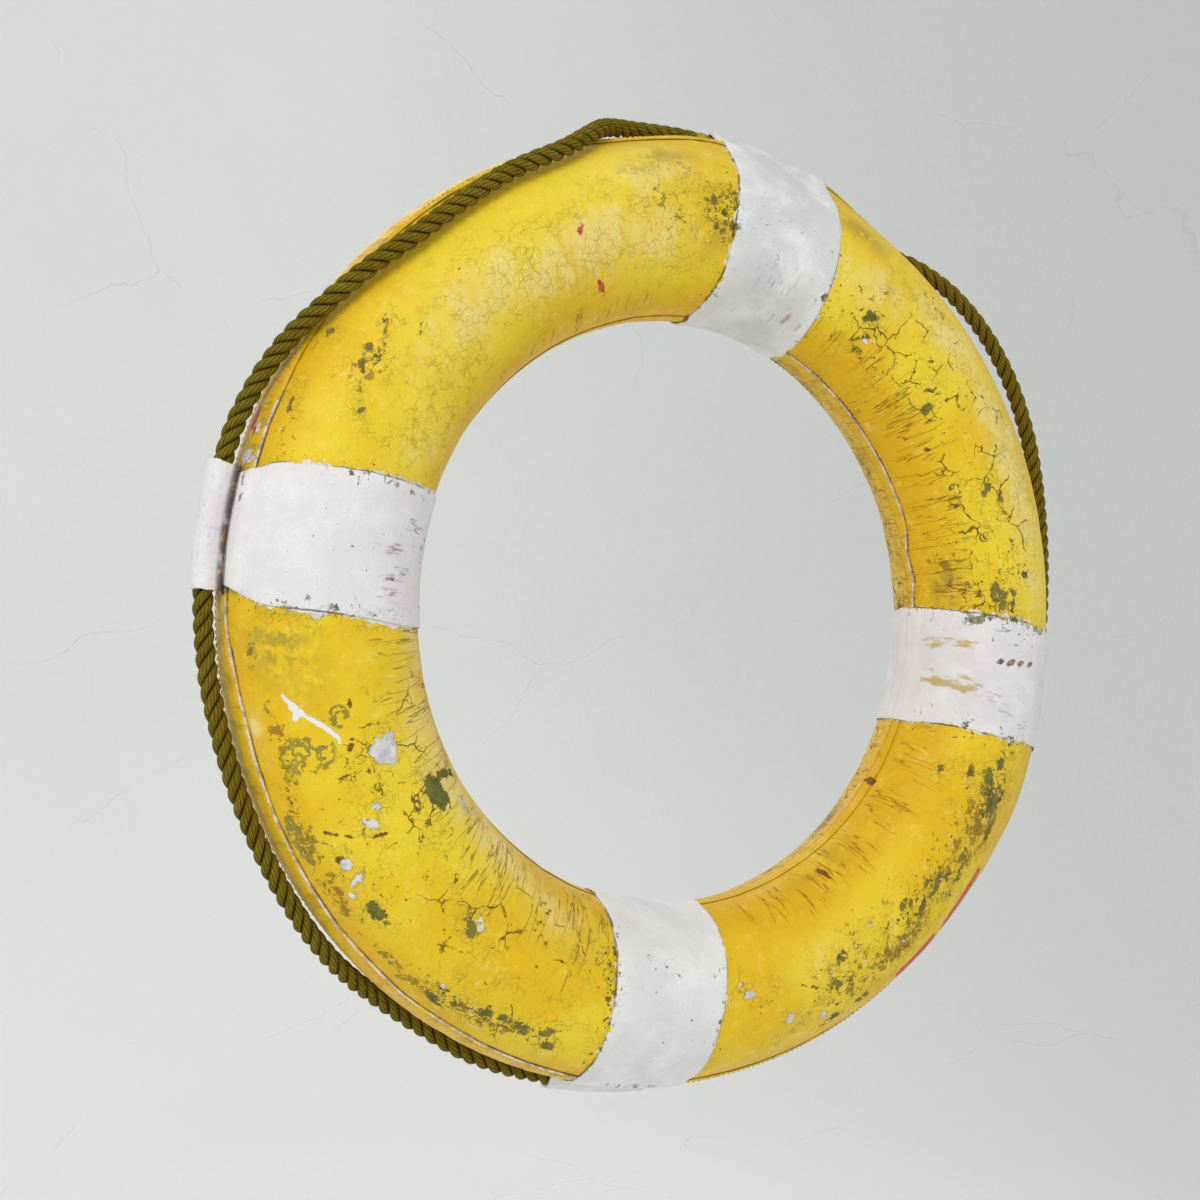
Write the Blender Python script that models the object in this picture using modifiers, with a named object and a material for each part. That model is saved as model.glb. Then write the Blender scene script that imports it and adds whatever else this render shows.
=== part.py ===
"""Ring lifebuoy: a canvas-covered cork ring with four painted bands and a becketed grab line.

Every piece is modelled as the ring lies on a bench, front up, around the local Z axis. All of them
hang from one empty that stands the ring up, so that in the world its axis is Y, its front faces -Y
and its top is +Z. Angles around the ring run counter-clockwise from +X, seen from the front.
Angles around the section start at the outer rim and rise towards the front.
"""

import math

import bmesh
import bpy
from mathutils import Matrix, Vector

# Driving dimensions, in metres and degrees
OUTER_RADIUS = 0.360
SECTION_RADIAL = 0.1334
SECTION_AXIAL = 0.1250
CENTRE_RADIUS = OUTER_RADIUS - SECTION_RADIAL / 2
SECTION_STEP = 20
RING_STEPS = 48

CANVAS = 0.0015
TAPE = 0.0012
BAND = 0.0012
LAYER_GAP = 0.0008
COVER_SEAM_GAP = 0.0009

OUTER_TAPE_HALF_ANGLE = 20
INNER_TAPE_HALF_ANGLE = 10

CORE_INSET = 0.0036
BLOCK_COUNT = 8
BLOCK_STEPS = 6
BLOCK_GAP_ANGLE = 0.1
FIRST_JOINT_ANGLE = 12.5
DOWEL_RADIUS = 0.010
DOWEL_LENGTH = 0.078
DOWEL_SIDES = 12
DOWEL_CLEARANCE = 0.0006

BAND_ANGLES = {"top": 79.0, "left": 172.2, "bottom": 261.0, "right": 349.4}
BAND_WIDTH = 0.095
BAND_COLUMNS = 3
SLEEVE_TILTS = {"top": -8, "left": 0, "bottom": -25, "right": 0}

ROPE_RADIUS = 0.007
ROPE_STAND_OFF = 0.013
ROPE_CIRCLE = OUTER_RADIUS + ROPE_STAND_OFF
SLEEVE_LENGTH = 0.086
SLEEVE_CLOTH = 0.0016
SLEEVE_CLEARANCE = 0.0005
SLEEVE_FOOT = 0.0085
SEAT_GAP = 0.0004
SLEEVE_STEPS = 4
ARCH_STEPS = 10
PIVOT_GAP = 0.0006
ROPE_POINTS = 41
END_ROUNDING = (80, 55, 30)

# Each loop runs from one sleeve to the next: share of the way, tilt round the section in degrees,
# and the rope's distance from the cover in metres.
LOOPS = {
    "upper_left": ("top", "left", (
        (0.00, -8, 0.0130), (0.06, -5.5, 0.0116), (0.10, -3, 0.0106), (0.14, 0, 0.0103),
        (0.18, 7, 0.0102), (0.22, 18, 0.0102), (0.26, 29, 0.0101), (0.32, 38.5, 0.0101),
        (0.42, 41, 0.0101), (0.52, 43, 0.0101), (0.61, 42, 0.0102), (0.69, 35, 0.0104),
        (0.76, 27, 0.0106), (0.83, 15, 0.0110), (0.90, 5, 0.0118), (0.96, 0.5, 0.0128),
        (1.00, 0, 0.0130))),
    "lower_left": ("left", "bottom", (
        (0.00, 0, 0.0130), (0.10, -2, 0.0114), (0.20, 1, 0.0107), (0.32, 2, 0.0106),
        (0.45, -1, 0.0106), (0.56, -9, 0.0107), (0.66, -20, 0.0108), (0.76, -25, 0.0116),
        (0.88, -23, 0.0125), (1.00, -25, 0.0130))),
    "lower_right": ("bottom", "right", (
        (0.00, -25, 0.0130), (0.05, -24, 0.0124), (0.10, -27, 0.0116), (0.17, -36, 0.0108), (0.30, -42, 0.0104),
        (0.50, -43, 0.0104), (0.72, -36, 0.0107), (0.88, -13, 0.0125), (1.00, 0, 0.0130))),
    "upper_right": ("right", "top", (
        (0.00, 0, 0.0130), (0.12, 0, 0.0180), (0.24, 0, 0.0250), (0.37, 0, 0.0335),
        (0.50, 0, 0.0365), (0.63, 0, 0.0300), (0.72, -4, 0.0215), (0.80, -15, 0.0148),
        (0.88, -23, 0.0118), (0.95, -16, 0.0122), (1.00, -8, 0.0130))),
}

FINISHES = {
    "cork": ((0.42, 0.26, 0.13), 0.95),
    "dowel_wood": ((0.55, 0.38, 0.20), 0.80),
    "yellow_canvas": ((0.80, 0.55, 0.05), 0.60),
    "yellow_tape": ((0.68, 0.43, 0.04), 0.65),
    "white_canvas": ((0.72, 0.70, 0.69), 0.60),
    "grab_line": ((0.09, 0.07, 0.02), 0.90),
}


def cleared_scene():
    for old in list(bpy.data.objects):
        bpy.data.objects.remove(old, do_unlink=True)


def new_collection(name):
    collection = bpy.data.collections.new(name)
    bpy.context.scene.collection.children.link(collection)
    return collection


def material(name):
    if name in bpy.data.materials:
        return bpy.data.materials[name]
    made = bpy.data.materials.new(name)
    made.use_nodes = True
    colour, roughness = FINISHES[name]
    shader = made.node_tree.nodes["Principled BSDF"]
    shader.inputs["Base Color"].default_value = (*colour, 1)
    shader.inputs["Roughness"].default_value = roughness
    shader.inputs["Metallic"].default_value = 0
    return made


def placed(name, data, finish, stand):
    """A new object of the assembly, carried by the empty that stands the ring up."""
    obj = bpy.data.objects.new(name, data)
    data.materials.append(material(finish))
    parts.objects.link(obj)
    obj.parent = stand
    return obj


def smoothed(mesh, sharp_degrees=35):
    mesh.shade_smooth()
    mesh.set_sharp_from_angle(angle=math.radians(sharp_degrees))
    return mesh


def corner(angle, offset):
    """A corner of the section's outline, this far outside the cover, as (radius, height)."""
    turn = math.radians(angle)
    return (
        CENTRE_RADIUS + (SECTION_RADIAL / 2 + offset) * math.cos(turn),
        (SECTION_AXIAL / 2 + offset) * math.sin(turn),
    )


def on_outline(angle, offset):
    """A point of the many-sided section. Every layer uses the same sides, so layers stay parallel."""
    first = math.floor(angle / SECTION_STEP) * SECTION_STEP
    share = (angle - first) / SECTION_STEP
    start, end = corner(first, offset), corner(first + SECTION_STEP, offset)
    return tuple(a + (b - a) * share for a, b in zip(start, end))


def around(angle, radius, height):
    """The point at this angle round the ring."""
    turn = math.radians(angle)
    return Vector((radius * math.cos(turn), radius * math.sin(turn), height))


def solidify(obj, thickness, offset):
    shell = obj.modifiers.new("thickness", "SOLIDIFY")
    shell.thickness = thickness
    shell.offset = offset
    return shell


def turned_shell(name, angles, offset, thickness, side, finish, stand):
    """A strip of the section, from the first angle down to the last, turned round the ring."""
    mesh = bpy.data.meshes.new(name)
    points = [on_outline(angle, offset) for angle in angles]
    mesh.from_pydata(
        [(radius, 0, height) for radius, height in points],
        [(i, i + 1) for i in range(len(points) - 1)],
        [],
    )
    obj = placed(name, mesh, finish, stand)
    screw = obj.modifiers.new("turn", "SCREW")
    screw.axis = "Z"
    screw.steps = screw.render_steps = RING_STEPS
    screw.use_merge_vertices = True
    screw.merge_threshold = 0.0001
    screw.use_smooth_shade = True
    solidify(obj, thickness, side)
    return obj


def turned_block(name, outline, start, sweep, steps, finish, stand):
    """A closed outline of (radius, height) swept through part of a turn."""
    shape = bmesh.new()
    ring = [shape.verts.new(around(start, *point)) for point in outline]
    shape.faces.new(ring)
    bmesh.ops.spin(
        shape,
        geom=shape.verts[:] + shape.edges[:] + shape.faces[:],
        axis=(0, 0, 1),
        cent=(0, 0, 0),
        angle=math.radians(sweep),
        steps=steps,
        use_duplicate=False,
    )
    bmesh.ops.recalc_face_normals(shape, faces=shape.faces[:])
    mesh = bpy.data.meshes.new(name)
    shape.to_mesh(mesh)
    shape.free()
    return placed(name, smoothed(mesh), finish, stand)


def joint_angle(index):
    return FIRST_JOINT_ANGLE + index * 360 / BLOCK_COUNT


def along_tangent(angle, radius=CENTRE_RADIUS):
    """Where a straight piece lies across the ring's section plane at this angle."""
    return (
        Matrix.Translation(around(angle, radius, 0))
        @ Matrix.Rotation(math.radians(angle), 4, "Z")
        @ Matrix.Rotation(math.radians(90), 4, "X")
    )


def cylinder(name, radius, length, place):
    shape = bmesh.new()
    bmesh.ops.create_cone(
        shape,
        cap_ends=True,
        segments=DOWEL_SIDES,
        radius1=radius,
        radius2=radius,
        depth=length,
        matrix=place,
    )
    mesh = bpy.data.meshes.new(name)
    shape.to_mesh(mesh)
    shape.free()
    return smoothed(mesh)


def core_dowels(stand):
    """The dowels that join the cork blocks, and a cutter for the holes of each."""
    holes = []
    for index in range(BLOCK_COUNT):
        place = along_tangent(joint_angle(index))
        name = f"core_dowel_{index + 1}"
        placed(name, cylinder(name, DOWEL_RADIUS, DOWEL_LENGTH, place), "dowel_wood", stand)
        bore = cylinder(
            f"{name}_hole",
            DOWEL_RADIUS + DOWEL_CLEARANCE,
            DOWEL_LENGTH + 2 * DOWEL_CLEARANCE,
            place,
        )
        hole = bpy.data.objects.new(bore.name, bore)
        cutters.objects.link(hole)
        hole.parent = stand
        hole.hide_render = True
        hole.display_type = "WIRE"
        holes.append(hole)
    return holes


def cork_blocks(stand):
    holes = core_dowels(stand)
    outline = [corner(angle, -CORE_INSET) for angle in range(0, 360, SECTION_STEP)]
    for index in range(BLOCK_COUNT):
        block = turned_block(
            f"cork_block_{index + 1}",
            outline,
            joint_angle(index) + BLOCK_GAP_ANGLE / 2,
            360 / BLOCK_COUNT - BLOCK_GAP_ANGLE,
            BLOCK_STEPS,
            "cork",
            stand,
        )
        for hole in (holes[index], holes[(index + 1) % BLOCK_COUNT]):
            cut = block.modifiers.new(hole.name, "BOOLEAN")
            cut.operation = "DIFFERENCE"
            cut.solver = "EXACT"
            cut.object = hole


def canvas_cover(stand):
    """The two halves of the cover, cut from the inner rim over the crown to the outer rim."""
    slit = math.degrees(COVER_SEAM_GAP / 2 / (SECTION_AXIAL / 2))
    front = [180 - slit, *range(160, 0, -SECTION_STEP), slit]
    turned_shell("cover_front", front, 0, CANVAS, -1, "yellow_canvas", stand)
    back = [angle - 180 for angle in front]
    turned_shell("cover_back", back, 0, CANVAS, -1, "yellow_canvas", stand)


def seam_tapes(stand):
    half = OUTER_TAPE_HALF_ANGLE
    turned_shell("outer_seam_tape", (half, 0, -half), LAYER_GAP, TAPE, 1, "yellow_tape", stand)
    half = INNER_TAPE_HALF_ANGLE
    inner = (180 + half, 180, 180 - half)
    turned_shell("inner_seam_tape", inner, LAYER_GAP, TAPE, 1, "yellow_tape", stand)


def band_offset(angle):
    """A band lies on the cover, and steps up over the two seam tapes."""
    over_tape = abs(math.sin(math.radians(angle))) < math.sin(math.radians(SECTION_STEP + 1))
    return LAYER_GAP + (TAPE + LAYER_GAP if over_tape else 0)


def painted_band(name, middle, stand):
    """A strip of one width wound round the section, its edges square to its own middle line."""
    rows = 360 // SECTION_STEP
    shape = bmesh.new()
    grid = []
    for row in range(rows):
        angle = row * SECTION_STEP
        radius, height = corner(angle, band_offset(angle))
        line = []
        for column in range(BAND_COLUMNS + 1):
            aside = BAND_WIDTH * (column / BAND_COLUMNS - 0.5)
            turn = math.degrees(math.asin(aside / radius))
            line.append(shape.verts.new(around(middle + turn, radius, height)))
        grid.append(line)
    for row in range(rows):
        this, after = grid[row], grid[(row + 1) % rows]
        for column in range(BAND_COLUMNS):
            shape.faces.new((this[column], this[column + 1], after[column + 1], after[column]))
    mesh = bpy.data.meshes.new(name)
    shape.to_mesh(mesh)
    shape.free()
    band = placed(name, smoothed(mesh, 60), "white_canvas", stand)
    solidify(band, BAND, 1)


def sleeve_outline(tilt):
    """A strap's section at this tilt: its front foot on the band, up over the rope, its back foot."""
    inner = ROPE_RADIUS + SLEEVE_CLEARANCE
    outer = inner + SLEEVE_CLOTH
    tip = outer + SLEEVE_FOOT
    centre = Vector(corner(tilt, ROPE_STAND_OFF))
    out = (centre - Vector(corner(tilt, 0))).normalized()
    aside = Vector((-out.y, out.x))

    def seat(angle, lift):
        first = math.floor(angle / SECTION_STEP) * SECTION_STEP
        start, end = (
            Vector(corner(a, band_offset(a) + BAND + SEAT_GAP + lift))
            for a in (first, first + SECTION_STEP)
        )
        return start.lerp(end, (angle - first) / SECTION_STEP)

    def angle_at(reach, lift):
        low, high = tilt - 45, tilt + 45
        for _ in range(40):
            middle = (low + high) / 2
            if (seat(middle, lift) - centre).dot(aside) < reach:
                low = middle
            else:
                high = middle
        return low

    def along_seat(start, end, lift):
        first, last = angle_at(start, lift), angle_at(end, lift)
        low, high = min(first, last) + 0.5, max(first, last) - 0.5
        corners = [a for a in range(-80, 81, SECTION_STEP) if low < a < high]
        if first > last:
            corners.reverse()
        return [seat(angle, lift) for angle in (first, *corners, last)]

    def arch(radius, turns):
        for turn in turns:
            yield centre + radius * (
                math.cos(math.radians(turn)) * aside + math.sin(math.radians(turn)) * out
            )

    turns = [180 * i / ARCH_STEPS for i in range(ARCH_STEPS + 1)]
    return [
        *along_seat(inner, tip, 0),
        *along_seat(tip, outer, SLEEVE_CLOTH),
        *arch(outer, turns),
        *along_seat(-outer, -tip, SLEEVE_CLOTH),
        *along_seat(-tip, -inner, 0),
        *arch(inner, reversed(turns)),
    ]


def becket_sleeves(stand):
    sweep = math.degrees(SLEEVE_LENGTH / ROPE_CIRCLE)
    for place, middle in BAND_ANGLES.items():
        turned_block(
            f"becket_sleeve_{place}",
            sleeve_outline(SLEEVE_TILTS[place]),
            middle - sweep / 2,
            sweep,
            SLEEVE_STEPS,
            "white_canvas",
            stand,
        )


def rope(name, points, stand, radii=None):
    """A plain tube along the points, which stands for the three-strand line."""
    curve = bpy.data.curves.new(name, "CURVE")
    curve.dimensions = "3D"
    curve.bevel_depth = ROPE_RADIUS
    curve.bevel_resolution = 2
    curve.use_fill_caps = True
    curve.twist_mode = "MINIMUM"
    spline = curve.splines.new("POLY")
    spline.points.add(len(points) - 1)
    for i, point in enumerate(points):
        spline.points[i].co = (*point, 1)
        spline.points[i].radius = radii[i] if radii else 1
    return placed(name, curve, "grab_line", stand)


def held_line(stand):
    """The stretches of the line inside the sleeves."""
    half = math.degrees(SLEEVE_LENGTH / 2 / ROPE_CIRCLE)
    for place, middle in BAND_ANGLES.items():
        angles = [middle + half * share for share in (-1, -0.5, 0, 0.5, 1)]
        line = corner(SLEEVE_TILTS[place], ROPE_STAND_OFF)
        rope(f"line_in_sleeve_{place}", [around(a, *line) for a in angles], stand)


def between(stations, share):
    """Tilt and distance from the cover at this share of a loop, eased through its stations."""
    last = len(stations) - 2
    index = max(i for i in range(last + 1) if stations[i][0] <= share or i == 0)
    before, start = stations[max(index - 1, 0)], stations[index]
    end, after = stations[index + 1], stations[min(index + 2, last + 1)]
    span = end[0] - start[0]
    t = (share - start[0]) / span
    values = []
    for k in (1, 2):
        slope_in = (end[k] - before[k]) / (end[0] - before[0]) * span
        slope_out = (after[k] - start[k]) / (after[0] - start[0]) * span
        values.append(
            start[k] * (2 * t**3 - 3 * t**2 + 1)
            + slope_in * (t**3 - 2 * t**2 + t)
            + end[k] * (3 * t**2 - 2 * t**3)
            + slope_out * (t**3 - t**2)
        )
    return values


def pivot_half_angle():
    """From a sleeve's middle to the point that a loop turns about, one rope radius past its mouth."""
    reach = SLEEVE_LENGTH / 2 + ROPE_RADIUS + PIVOT_GAP
    return math.degrees(reach / ROPE_CIRCLE)


def loop_route(start_sleeve, end_sleeve, stations):
    start = BAND_ANGLES[start_sleeve] + pivot_half_angle()
    end = BAND_ANGLES[end_sleeve] - pivot_half_angle()
    if end < start:
        end += 360
    points = []
    for i in range(ROPE_POINTS):
        share = i / (ROPE_POINTS - 1)
        tilt, distance = between(stations, share)
        points.append(around(start + (end - start) * share, *corner(tilt, distance)))
    return points


def free_loops(stand):
    """The four loops, each with round ends centred on its pivots, so that it clears the sleeves."""
    for name, route in LOOPS.items():
        points = loop_route(*route)
        start = (points[0] - points[1]).normalized()
        end = (points[-1] - points[-2]).normalized()
        reach = [ROPE_RADIUS * math.sin(math.radians(turn)) for turn in END_ROUNDING]
        small = [math.cos(math.radians(turn)) for turn in END_ROUNDING]
        rounded = [
            *[points[0] + start * step for step in reach],
            *points,
            *[points[-1] + end * step for step in reversed(reach)],
        ]
        radii = [*small, *[1] * len(points), *reversed(small)]
        rope(f"grab_line_{name}", rounded, stand, radii)


def build():
    stand = bpy.data.objects.new("ring_stand", None)
    parts.objects.link(stand)
    stand.rotation_euler = (math.radians(90), 0, 0)
    cork_blocks(stand)
    canvas_cover(stand)
    seam_tapes(stand)
    for place, middle in BAND_ANGLES.items():
        painted_band(f"band_{place}", middle, stand)
    becket_sleeves(stand)
    held_line(stand)
    free_loops(stand)


cleared_scene()
parts = new_collection("ring_lifebuoy")
cutters = new_collection("cutters")
build()
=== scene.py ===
"""Looks of the ring lifebuoy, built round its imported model.

The camera and the line come first, then the canvas cover, its seam tapes, the white bands and the sleeves
that hold the line. Ring angles run counter-clockwise from +X, seen from the front. Section angles run round
the ring's own section, from 0 on the outer rim over 90 in front to 180 on the inner rim. Lengths are in
metres.
"""

import math

import bmesh
import bpy
import numpy as np
from mathutils import Matrix, Vector


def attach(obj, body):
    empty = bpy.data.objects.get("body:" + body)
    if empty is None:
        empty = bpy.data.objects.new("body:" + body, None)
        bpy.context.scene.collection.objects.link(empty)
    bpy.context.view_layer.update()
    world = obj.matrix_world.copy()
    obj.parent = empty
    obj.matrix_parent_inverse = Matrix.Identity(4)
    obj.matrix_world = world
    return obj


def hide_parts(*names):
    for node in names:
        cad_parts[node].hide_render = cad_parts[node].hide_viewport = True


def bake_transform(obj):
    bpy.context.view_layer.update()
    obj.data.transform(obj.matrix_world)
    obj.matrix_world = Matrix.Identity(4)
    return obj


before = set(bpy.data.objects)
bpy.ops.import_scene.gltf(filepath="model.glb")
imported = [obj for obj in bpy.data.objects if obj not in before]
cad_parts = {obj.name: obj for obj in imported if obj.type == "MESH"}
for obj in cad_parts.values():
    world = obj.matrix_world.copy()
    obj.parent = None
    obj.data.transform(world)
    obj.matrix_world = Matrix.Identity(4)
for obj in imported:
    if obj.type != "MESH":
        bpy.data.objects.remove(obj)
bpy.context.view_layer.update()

OUTER_RADIUS = 0.360
SECTION_RADIAL = 0.1334
SECTION_AXIAL = 0.1250
CENTRE_RADIUS = OUTER_RADIUS - SECTION_RADIAL / 2
SECTION_ARC = (SECTION_RADIAL + SECTION_AXIAL) / 4 * math.pi / 180  # one degree of section

CANVAS = 0.0015
CLOTH = 0.0012
LIFT = 0.0005
OUTER_TAPE_HALF_ANGLE = 20
INNER_TAPE_HALF_ANGLE = 10

BAND_ANGLES = {"top": 79.0, "left": 172.2, "bottom": 261.0, "right": 349.4}
BAND_WIDTH = 0.095

ROPE_RADIUS = 0.007
ROPE_STAND_OFF = 0.013
ROPE_CIRCLE = OUTER_RADIUS + ROPE_STAND_OFF
STRAND_RADIUS = 0.00325
STRAND_OFFSET = 0.00375
LAY = 0.0345
SLEEVE_LENGTH = 0.086
SLEEVE_CLOTH = 0.0016
SLEEVE_INNER = 0.0075
SLEEVE_TILTS = {"top": -8, "left": 0, "bottom": -25, "right": 0}
PIVOT_GAP = 0.0006
THREAD_RADIUS = 0.00042
THREAD_ARCH = 0.00035
INSET = 0.0035  # from a tape's edge to its stitches
TUCKED = 0.020  # how far each loop's mesh runs on inside its sleeves
# Each loop runs from one sleeve to the next: share of the way, tilt round the section in degrees,
# and the rope's distance from the cover in metres.
LOOPS = {
    "upper_left": ("top", "left", (
        (0.00, -8, 0.0130), (0.06, -5.5, 0.0116), (0.10, -3, 0.0106), (0.14, 0, 0.0103),
        (0.18, 7, 0.0102), (0.22, 18, 0.0102), (0.26, 29, 0.0101), (0.32, 38.5, 0.0101),
        (0.42, 41, 0.0101), (0.52, 43, 0.0101), (0.61, 42, 0.0102), (0.69, 35, 0.0104),
        (0.76, 27, 0.0106), (0.83, 15, 0.0110), (0.90, 5, 0.0118), (0.96, 0.5, 0.0128),
        (1.00, 0, 0.0130))),
    "lower_left": ("left", "bottom", (
        (0.00, 0, 0.0130), (0.10, -2, 0.0114), (0.20, 1, 0.0107), (0.32, 2, 0.0106),
        (0.45, -1, 0.0106), (0.56, -9, 0.0107), (0.66, -20, 0.0108), (0.76, -25, 0.0116),
        (0.88, -23, 0.0125), (1.00, -25, 0.0130))),
    "lower_right": ("bottom", "right", (
        (0.00, -25, 0.0130), (0.05, -24, 0.0124), (0.10, -27, 0.0116), (0.17, -36, 0.0108),
        (0.30, -42, 0.0104), (0.50, -43, 0.0104), (0.72, -36, 0.0107), (0.88, -13, 0.0125),
        (1.00, 0, 0.0130))),
    "upper_right": ("right", "top", (
        (0.00, 0, 0.0130), (0.12, 0, 0.0180), (0.24, 0, 0.0250), (0.37, 0, 0.0335),
        (0.50, 0, 0.0365), (0.63, 0, 0.0300), (0.72, -4, 0.0215), (0.80, -15, 0.0148),
        (0.88, -23, 0.0118), (0.95, -16, 0.0122), (1.00, -8, 0.0130))),
}

# Where the stuffing swells or sinks: ring angle and width, section angle and width, height in metres.
SWELLS = (
    (72, 7.0, 16, 13, 0.0065),
    (88, 7.5, 16, 13, 0.0055),
    (290, 22, 10, 45, -0.0032),
    (334, 12, 28, 15, 0.0035),
)

RING_STEPS = 960
FACE_STEPS = 84
LINING_STEPS = 9


# --- numbers -------------------------------------------------------------------


def rad(degrees):
    return np.radians(degrees)


def step(low, high, x):
    """0 below low, 1 above high, eased between."""
    t = np.clip((x - low) / (high - low), 0, 1)
    return t * t * (3 - 2 * t)


def turned(a, b):
    """The smallest turn from ring angle b to ring angle a, in degrees."""
    return (a - b + 180) % 360 - 180


def bump(angle, middle, width):
    return np.exp(-((turned(angle, middle) / width) ** 2))


def unit(vectors):
    return vectors / np.linalg.norm(vectors, axis=-1, keepdims=True)


def lengths_along(points):
    """How far along the path each of its points is."""
    return np.concatenate([[0], np.cumsum(np.linalg.norm(np.diff(points, axis=0), axis=1))])


def noise(points, size, seed, octaves=3):
    """Smooth noise, about -1 to 1, whose largest blobs are size across."""
    total, weights = np.zeros(points.shape[:-1]), 0.0
    for octave in range(octaves):
        table = np.random.default_rng(seed * 31 + octave).uniform(-1, 1, (32, 32, 32))
        p = points / size * 2**octave + 11.7 * octave
        cell = np.floor(p).astype(int)
        f = p - cell
        f = f * f * (3 - 2 * f)
        value = np.zeros(points.shape[:-1])
        for dx in (0, 1):
            for dy in (0, 1):
                for dz in (0, 1):
                    share = ((f[..., 0] if dx else 1 - f[..., 0]) * (f[..., 1] if dy else 1 - f[..., 1])
                        * (f[..., 2] if dz else 1 - f[..., 2]))
                    value += share * table[(cell[..., 0] + dx) % 32, (cell[..., 1] + dy) % 32,
                        (cell[..., 2] + dz) % 32]
        total += value / 2**octave
        weights += 1 / 2**octave
    return total / weights * 1.7


# --- where things are ----------------------------------------------------------


def around(ring, radius, height):
    """The point at this ring angle, radius from the ring's axis and height towards the front."""
    ring = rad(ring)
    radius, height, ring = np.broadcast_arrays(radius, height, ring)
    return np.stack([radius * np.cos(ring), -height, radius * np.sin(ring)], axis=-1)


def plain_section(section, offset=0.0):
    """Radius and height on the ring's section, moved out along its normal."""
    a, b = SECTION_RADIAL / 2, SECTION_AXIAL / 2
    c, s = np.cos(rad(section)), np.sin(rad(section))
    size = np.hypot(b * c, a * s)
    return CENTRE_RADIUS + a * c + offset * b * c / size, b * s + offset * a * s / size


def relief(ring, section):
    """How far the stuffed canvas stands out of the plain shape: slow swells, dents and the cork's joints."""
    place = around(ring, *plain_section(section))
    level = turned(section, 0)
    calm = 1 - 0.7 * step(42, 22, np.abs(level))
    height = calm * (0.0011 * noise(place, 0.19, 11, 2) + 0.00045 * noise(place, 0.05, 23, 2))
    for middle, width, tilt, spread, rise in SWELLS:
        height = height + rise * bump(ring, middle, width) * np.exp(-(((level - tilt) / spread) ** 2))
    joint = (ring - 12.5 + 22.5) % 45 - 22.5
    height = height - 0.0004 * np.exp(-((joint * CENTRE_RADIUS * math.pi / 180 / 0.007) ** 2))
    return np.maximum(height, -0.0019)


def surface(ring, section, offset=0.0):
    """The point that is offset above the cover."""
    ring, section, offset = np.broadcast_arrays(ring, section, offset)
    return around(ring, *plain_section(section, offset + relief(ring, section)))


def tape_edges(ring):
    """The section angles of the outer tape's front and back edges."""
    place = around(ring, OUTER_RADIUS, 0.0)
    drift = 1.6 * noise(place, 0.16, 41, 2) + 0.5 * noise(place, 0.03, 42, 1)
    drift = drift - 11 * bump(ring, 180, 7) + 5 * bump(ring, 246, 20)
    front = OUTER_TAPE_HALF_ANGLE + drift
    back = -OUTER_TAPE_HALF_ANGLE + 1.4 * noise(place, 0.14, 43, 2) + 3 * bump(ring, 180, 7)
    return front, back


def inner_tape_edges(ring):
    place = around(ring, OUTER_RADIUS - SECTION_RADIAL, 0.0)
    waist = 4.6 * bump(ring, 13, 4) + 2.5 * bump(ring, 3, 3) + 1.5 * bump(ring, 38, 7)
    front = 180 - INNER_TAPE_HALF_ANGLE + 2.2 + 1.5 * noise(place, 0.09, 44, 2) + waist
    back = 180 + INNER_TAPE_HALF_ANGLE - 1.5 + 1.5 * noise(place, 0.09, 45, 2) - waist
    return front, back


def band_edges(name, section):
    """The two edges of a band at this section angle, in metres from its middle plane."""
    rim = step(45, 5, np.abs(turned(section, 0)))
    seed = 50 + sorted(BAND_ANGLES).index(name)
    along = np.stack([section * SECTION_ARC, np.zeros_like(section), np.zeros_like(section)], axis=-1)
    along[..., 1] = 0.4 * seed
    waver = 0.0016 * noise(along, 0.05, seed, 2)
    waver_2 = 0.0016 * noise(along, 0.05, seed + 9, 2)
    low, high = -BAND_WIDTH / 2 + waver, BAND_WIDTH / 2 + waver_2
    if name == "left":
        low, high = low + 0.008 * rim, high - 0.009 * rim
    if name == "right":
        low = low - 0.006 * rim
    return low, high


def inside_band(ring, section, radius):
    """How far inside the nearest band a point is, in metres: below 0 outside it."""
    best = np.full(np.broadcast(ring, section, radius).shape, -0.2)
    for name, middle in BAND_ANGLES.items():
        across = radius * np.sin(rad(ring - middle))
        low, high = band_edges(name, section)
        inside = np.minimum(across - low, high - across)
        near = np.cos(rad(ring - middle)) > 0.6
        best = np.where(near, np.maximum(best, inside), best)
    return best


# --- meshes --------------------------------------------------------------------


def mesh_piece(name, points, faces, fields=None, sharp=40):
    mesh = bpy.data.meshes.new(name)
    mesh.from_pydata(points.reshape(-1, 3).tolist(), [], faces if isinstance(faces, list) else faces.tolist())
    for key, values in (fields or {}).items():
        values = np.asarray(values, np.float32)
        vector = values.ndim > 1 and values.shape[-1] == 3
        made = mesh.attributes.new(key, "FLOAT_VECTOR" if vector else "FLOAT", "POINT")
        made.data.foreach_set("vector" if vector else "value", values.ravel())
    mesh.validate()
    mesh.shade_smooth()
    mesh.set_sharp_from_angle(angle=math.radians(sharp))
    obj = bpy.data.objects.new(name, mesh)
    bpy.context.scene.collection.objects.link(obj)
    return obj


def grid_faces(rows, columns, start=0, joined=True, flip=False):
    """Quads over a grid of rows by columns of points; joined closes it in the rows' direction."""
    i = np.arange(rows if joined else rows - 1)[:, None]
    j = np.arange(columns - 1)[None, :]
    next_i = (i + 1) % rows
    quads = np.stack([i * columns + j, next_i * columns + j, next_i * columns + j + 1, i * columns + j + 1],
        axis=-1)
    quads = quads.reshape(-1, 4) + start
    return quads[:, ::-1] if flip else quads


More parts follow.
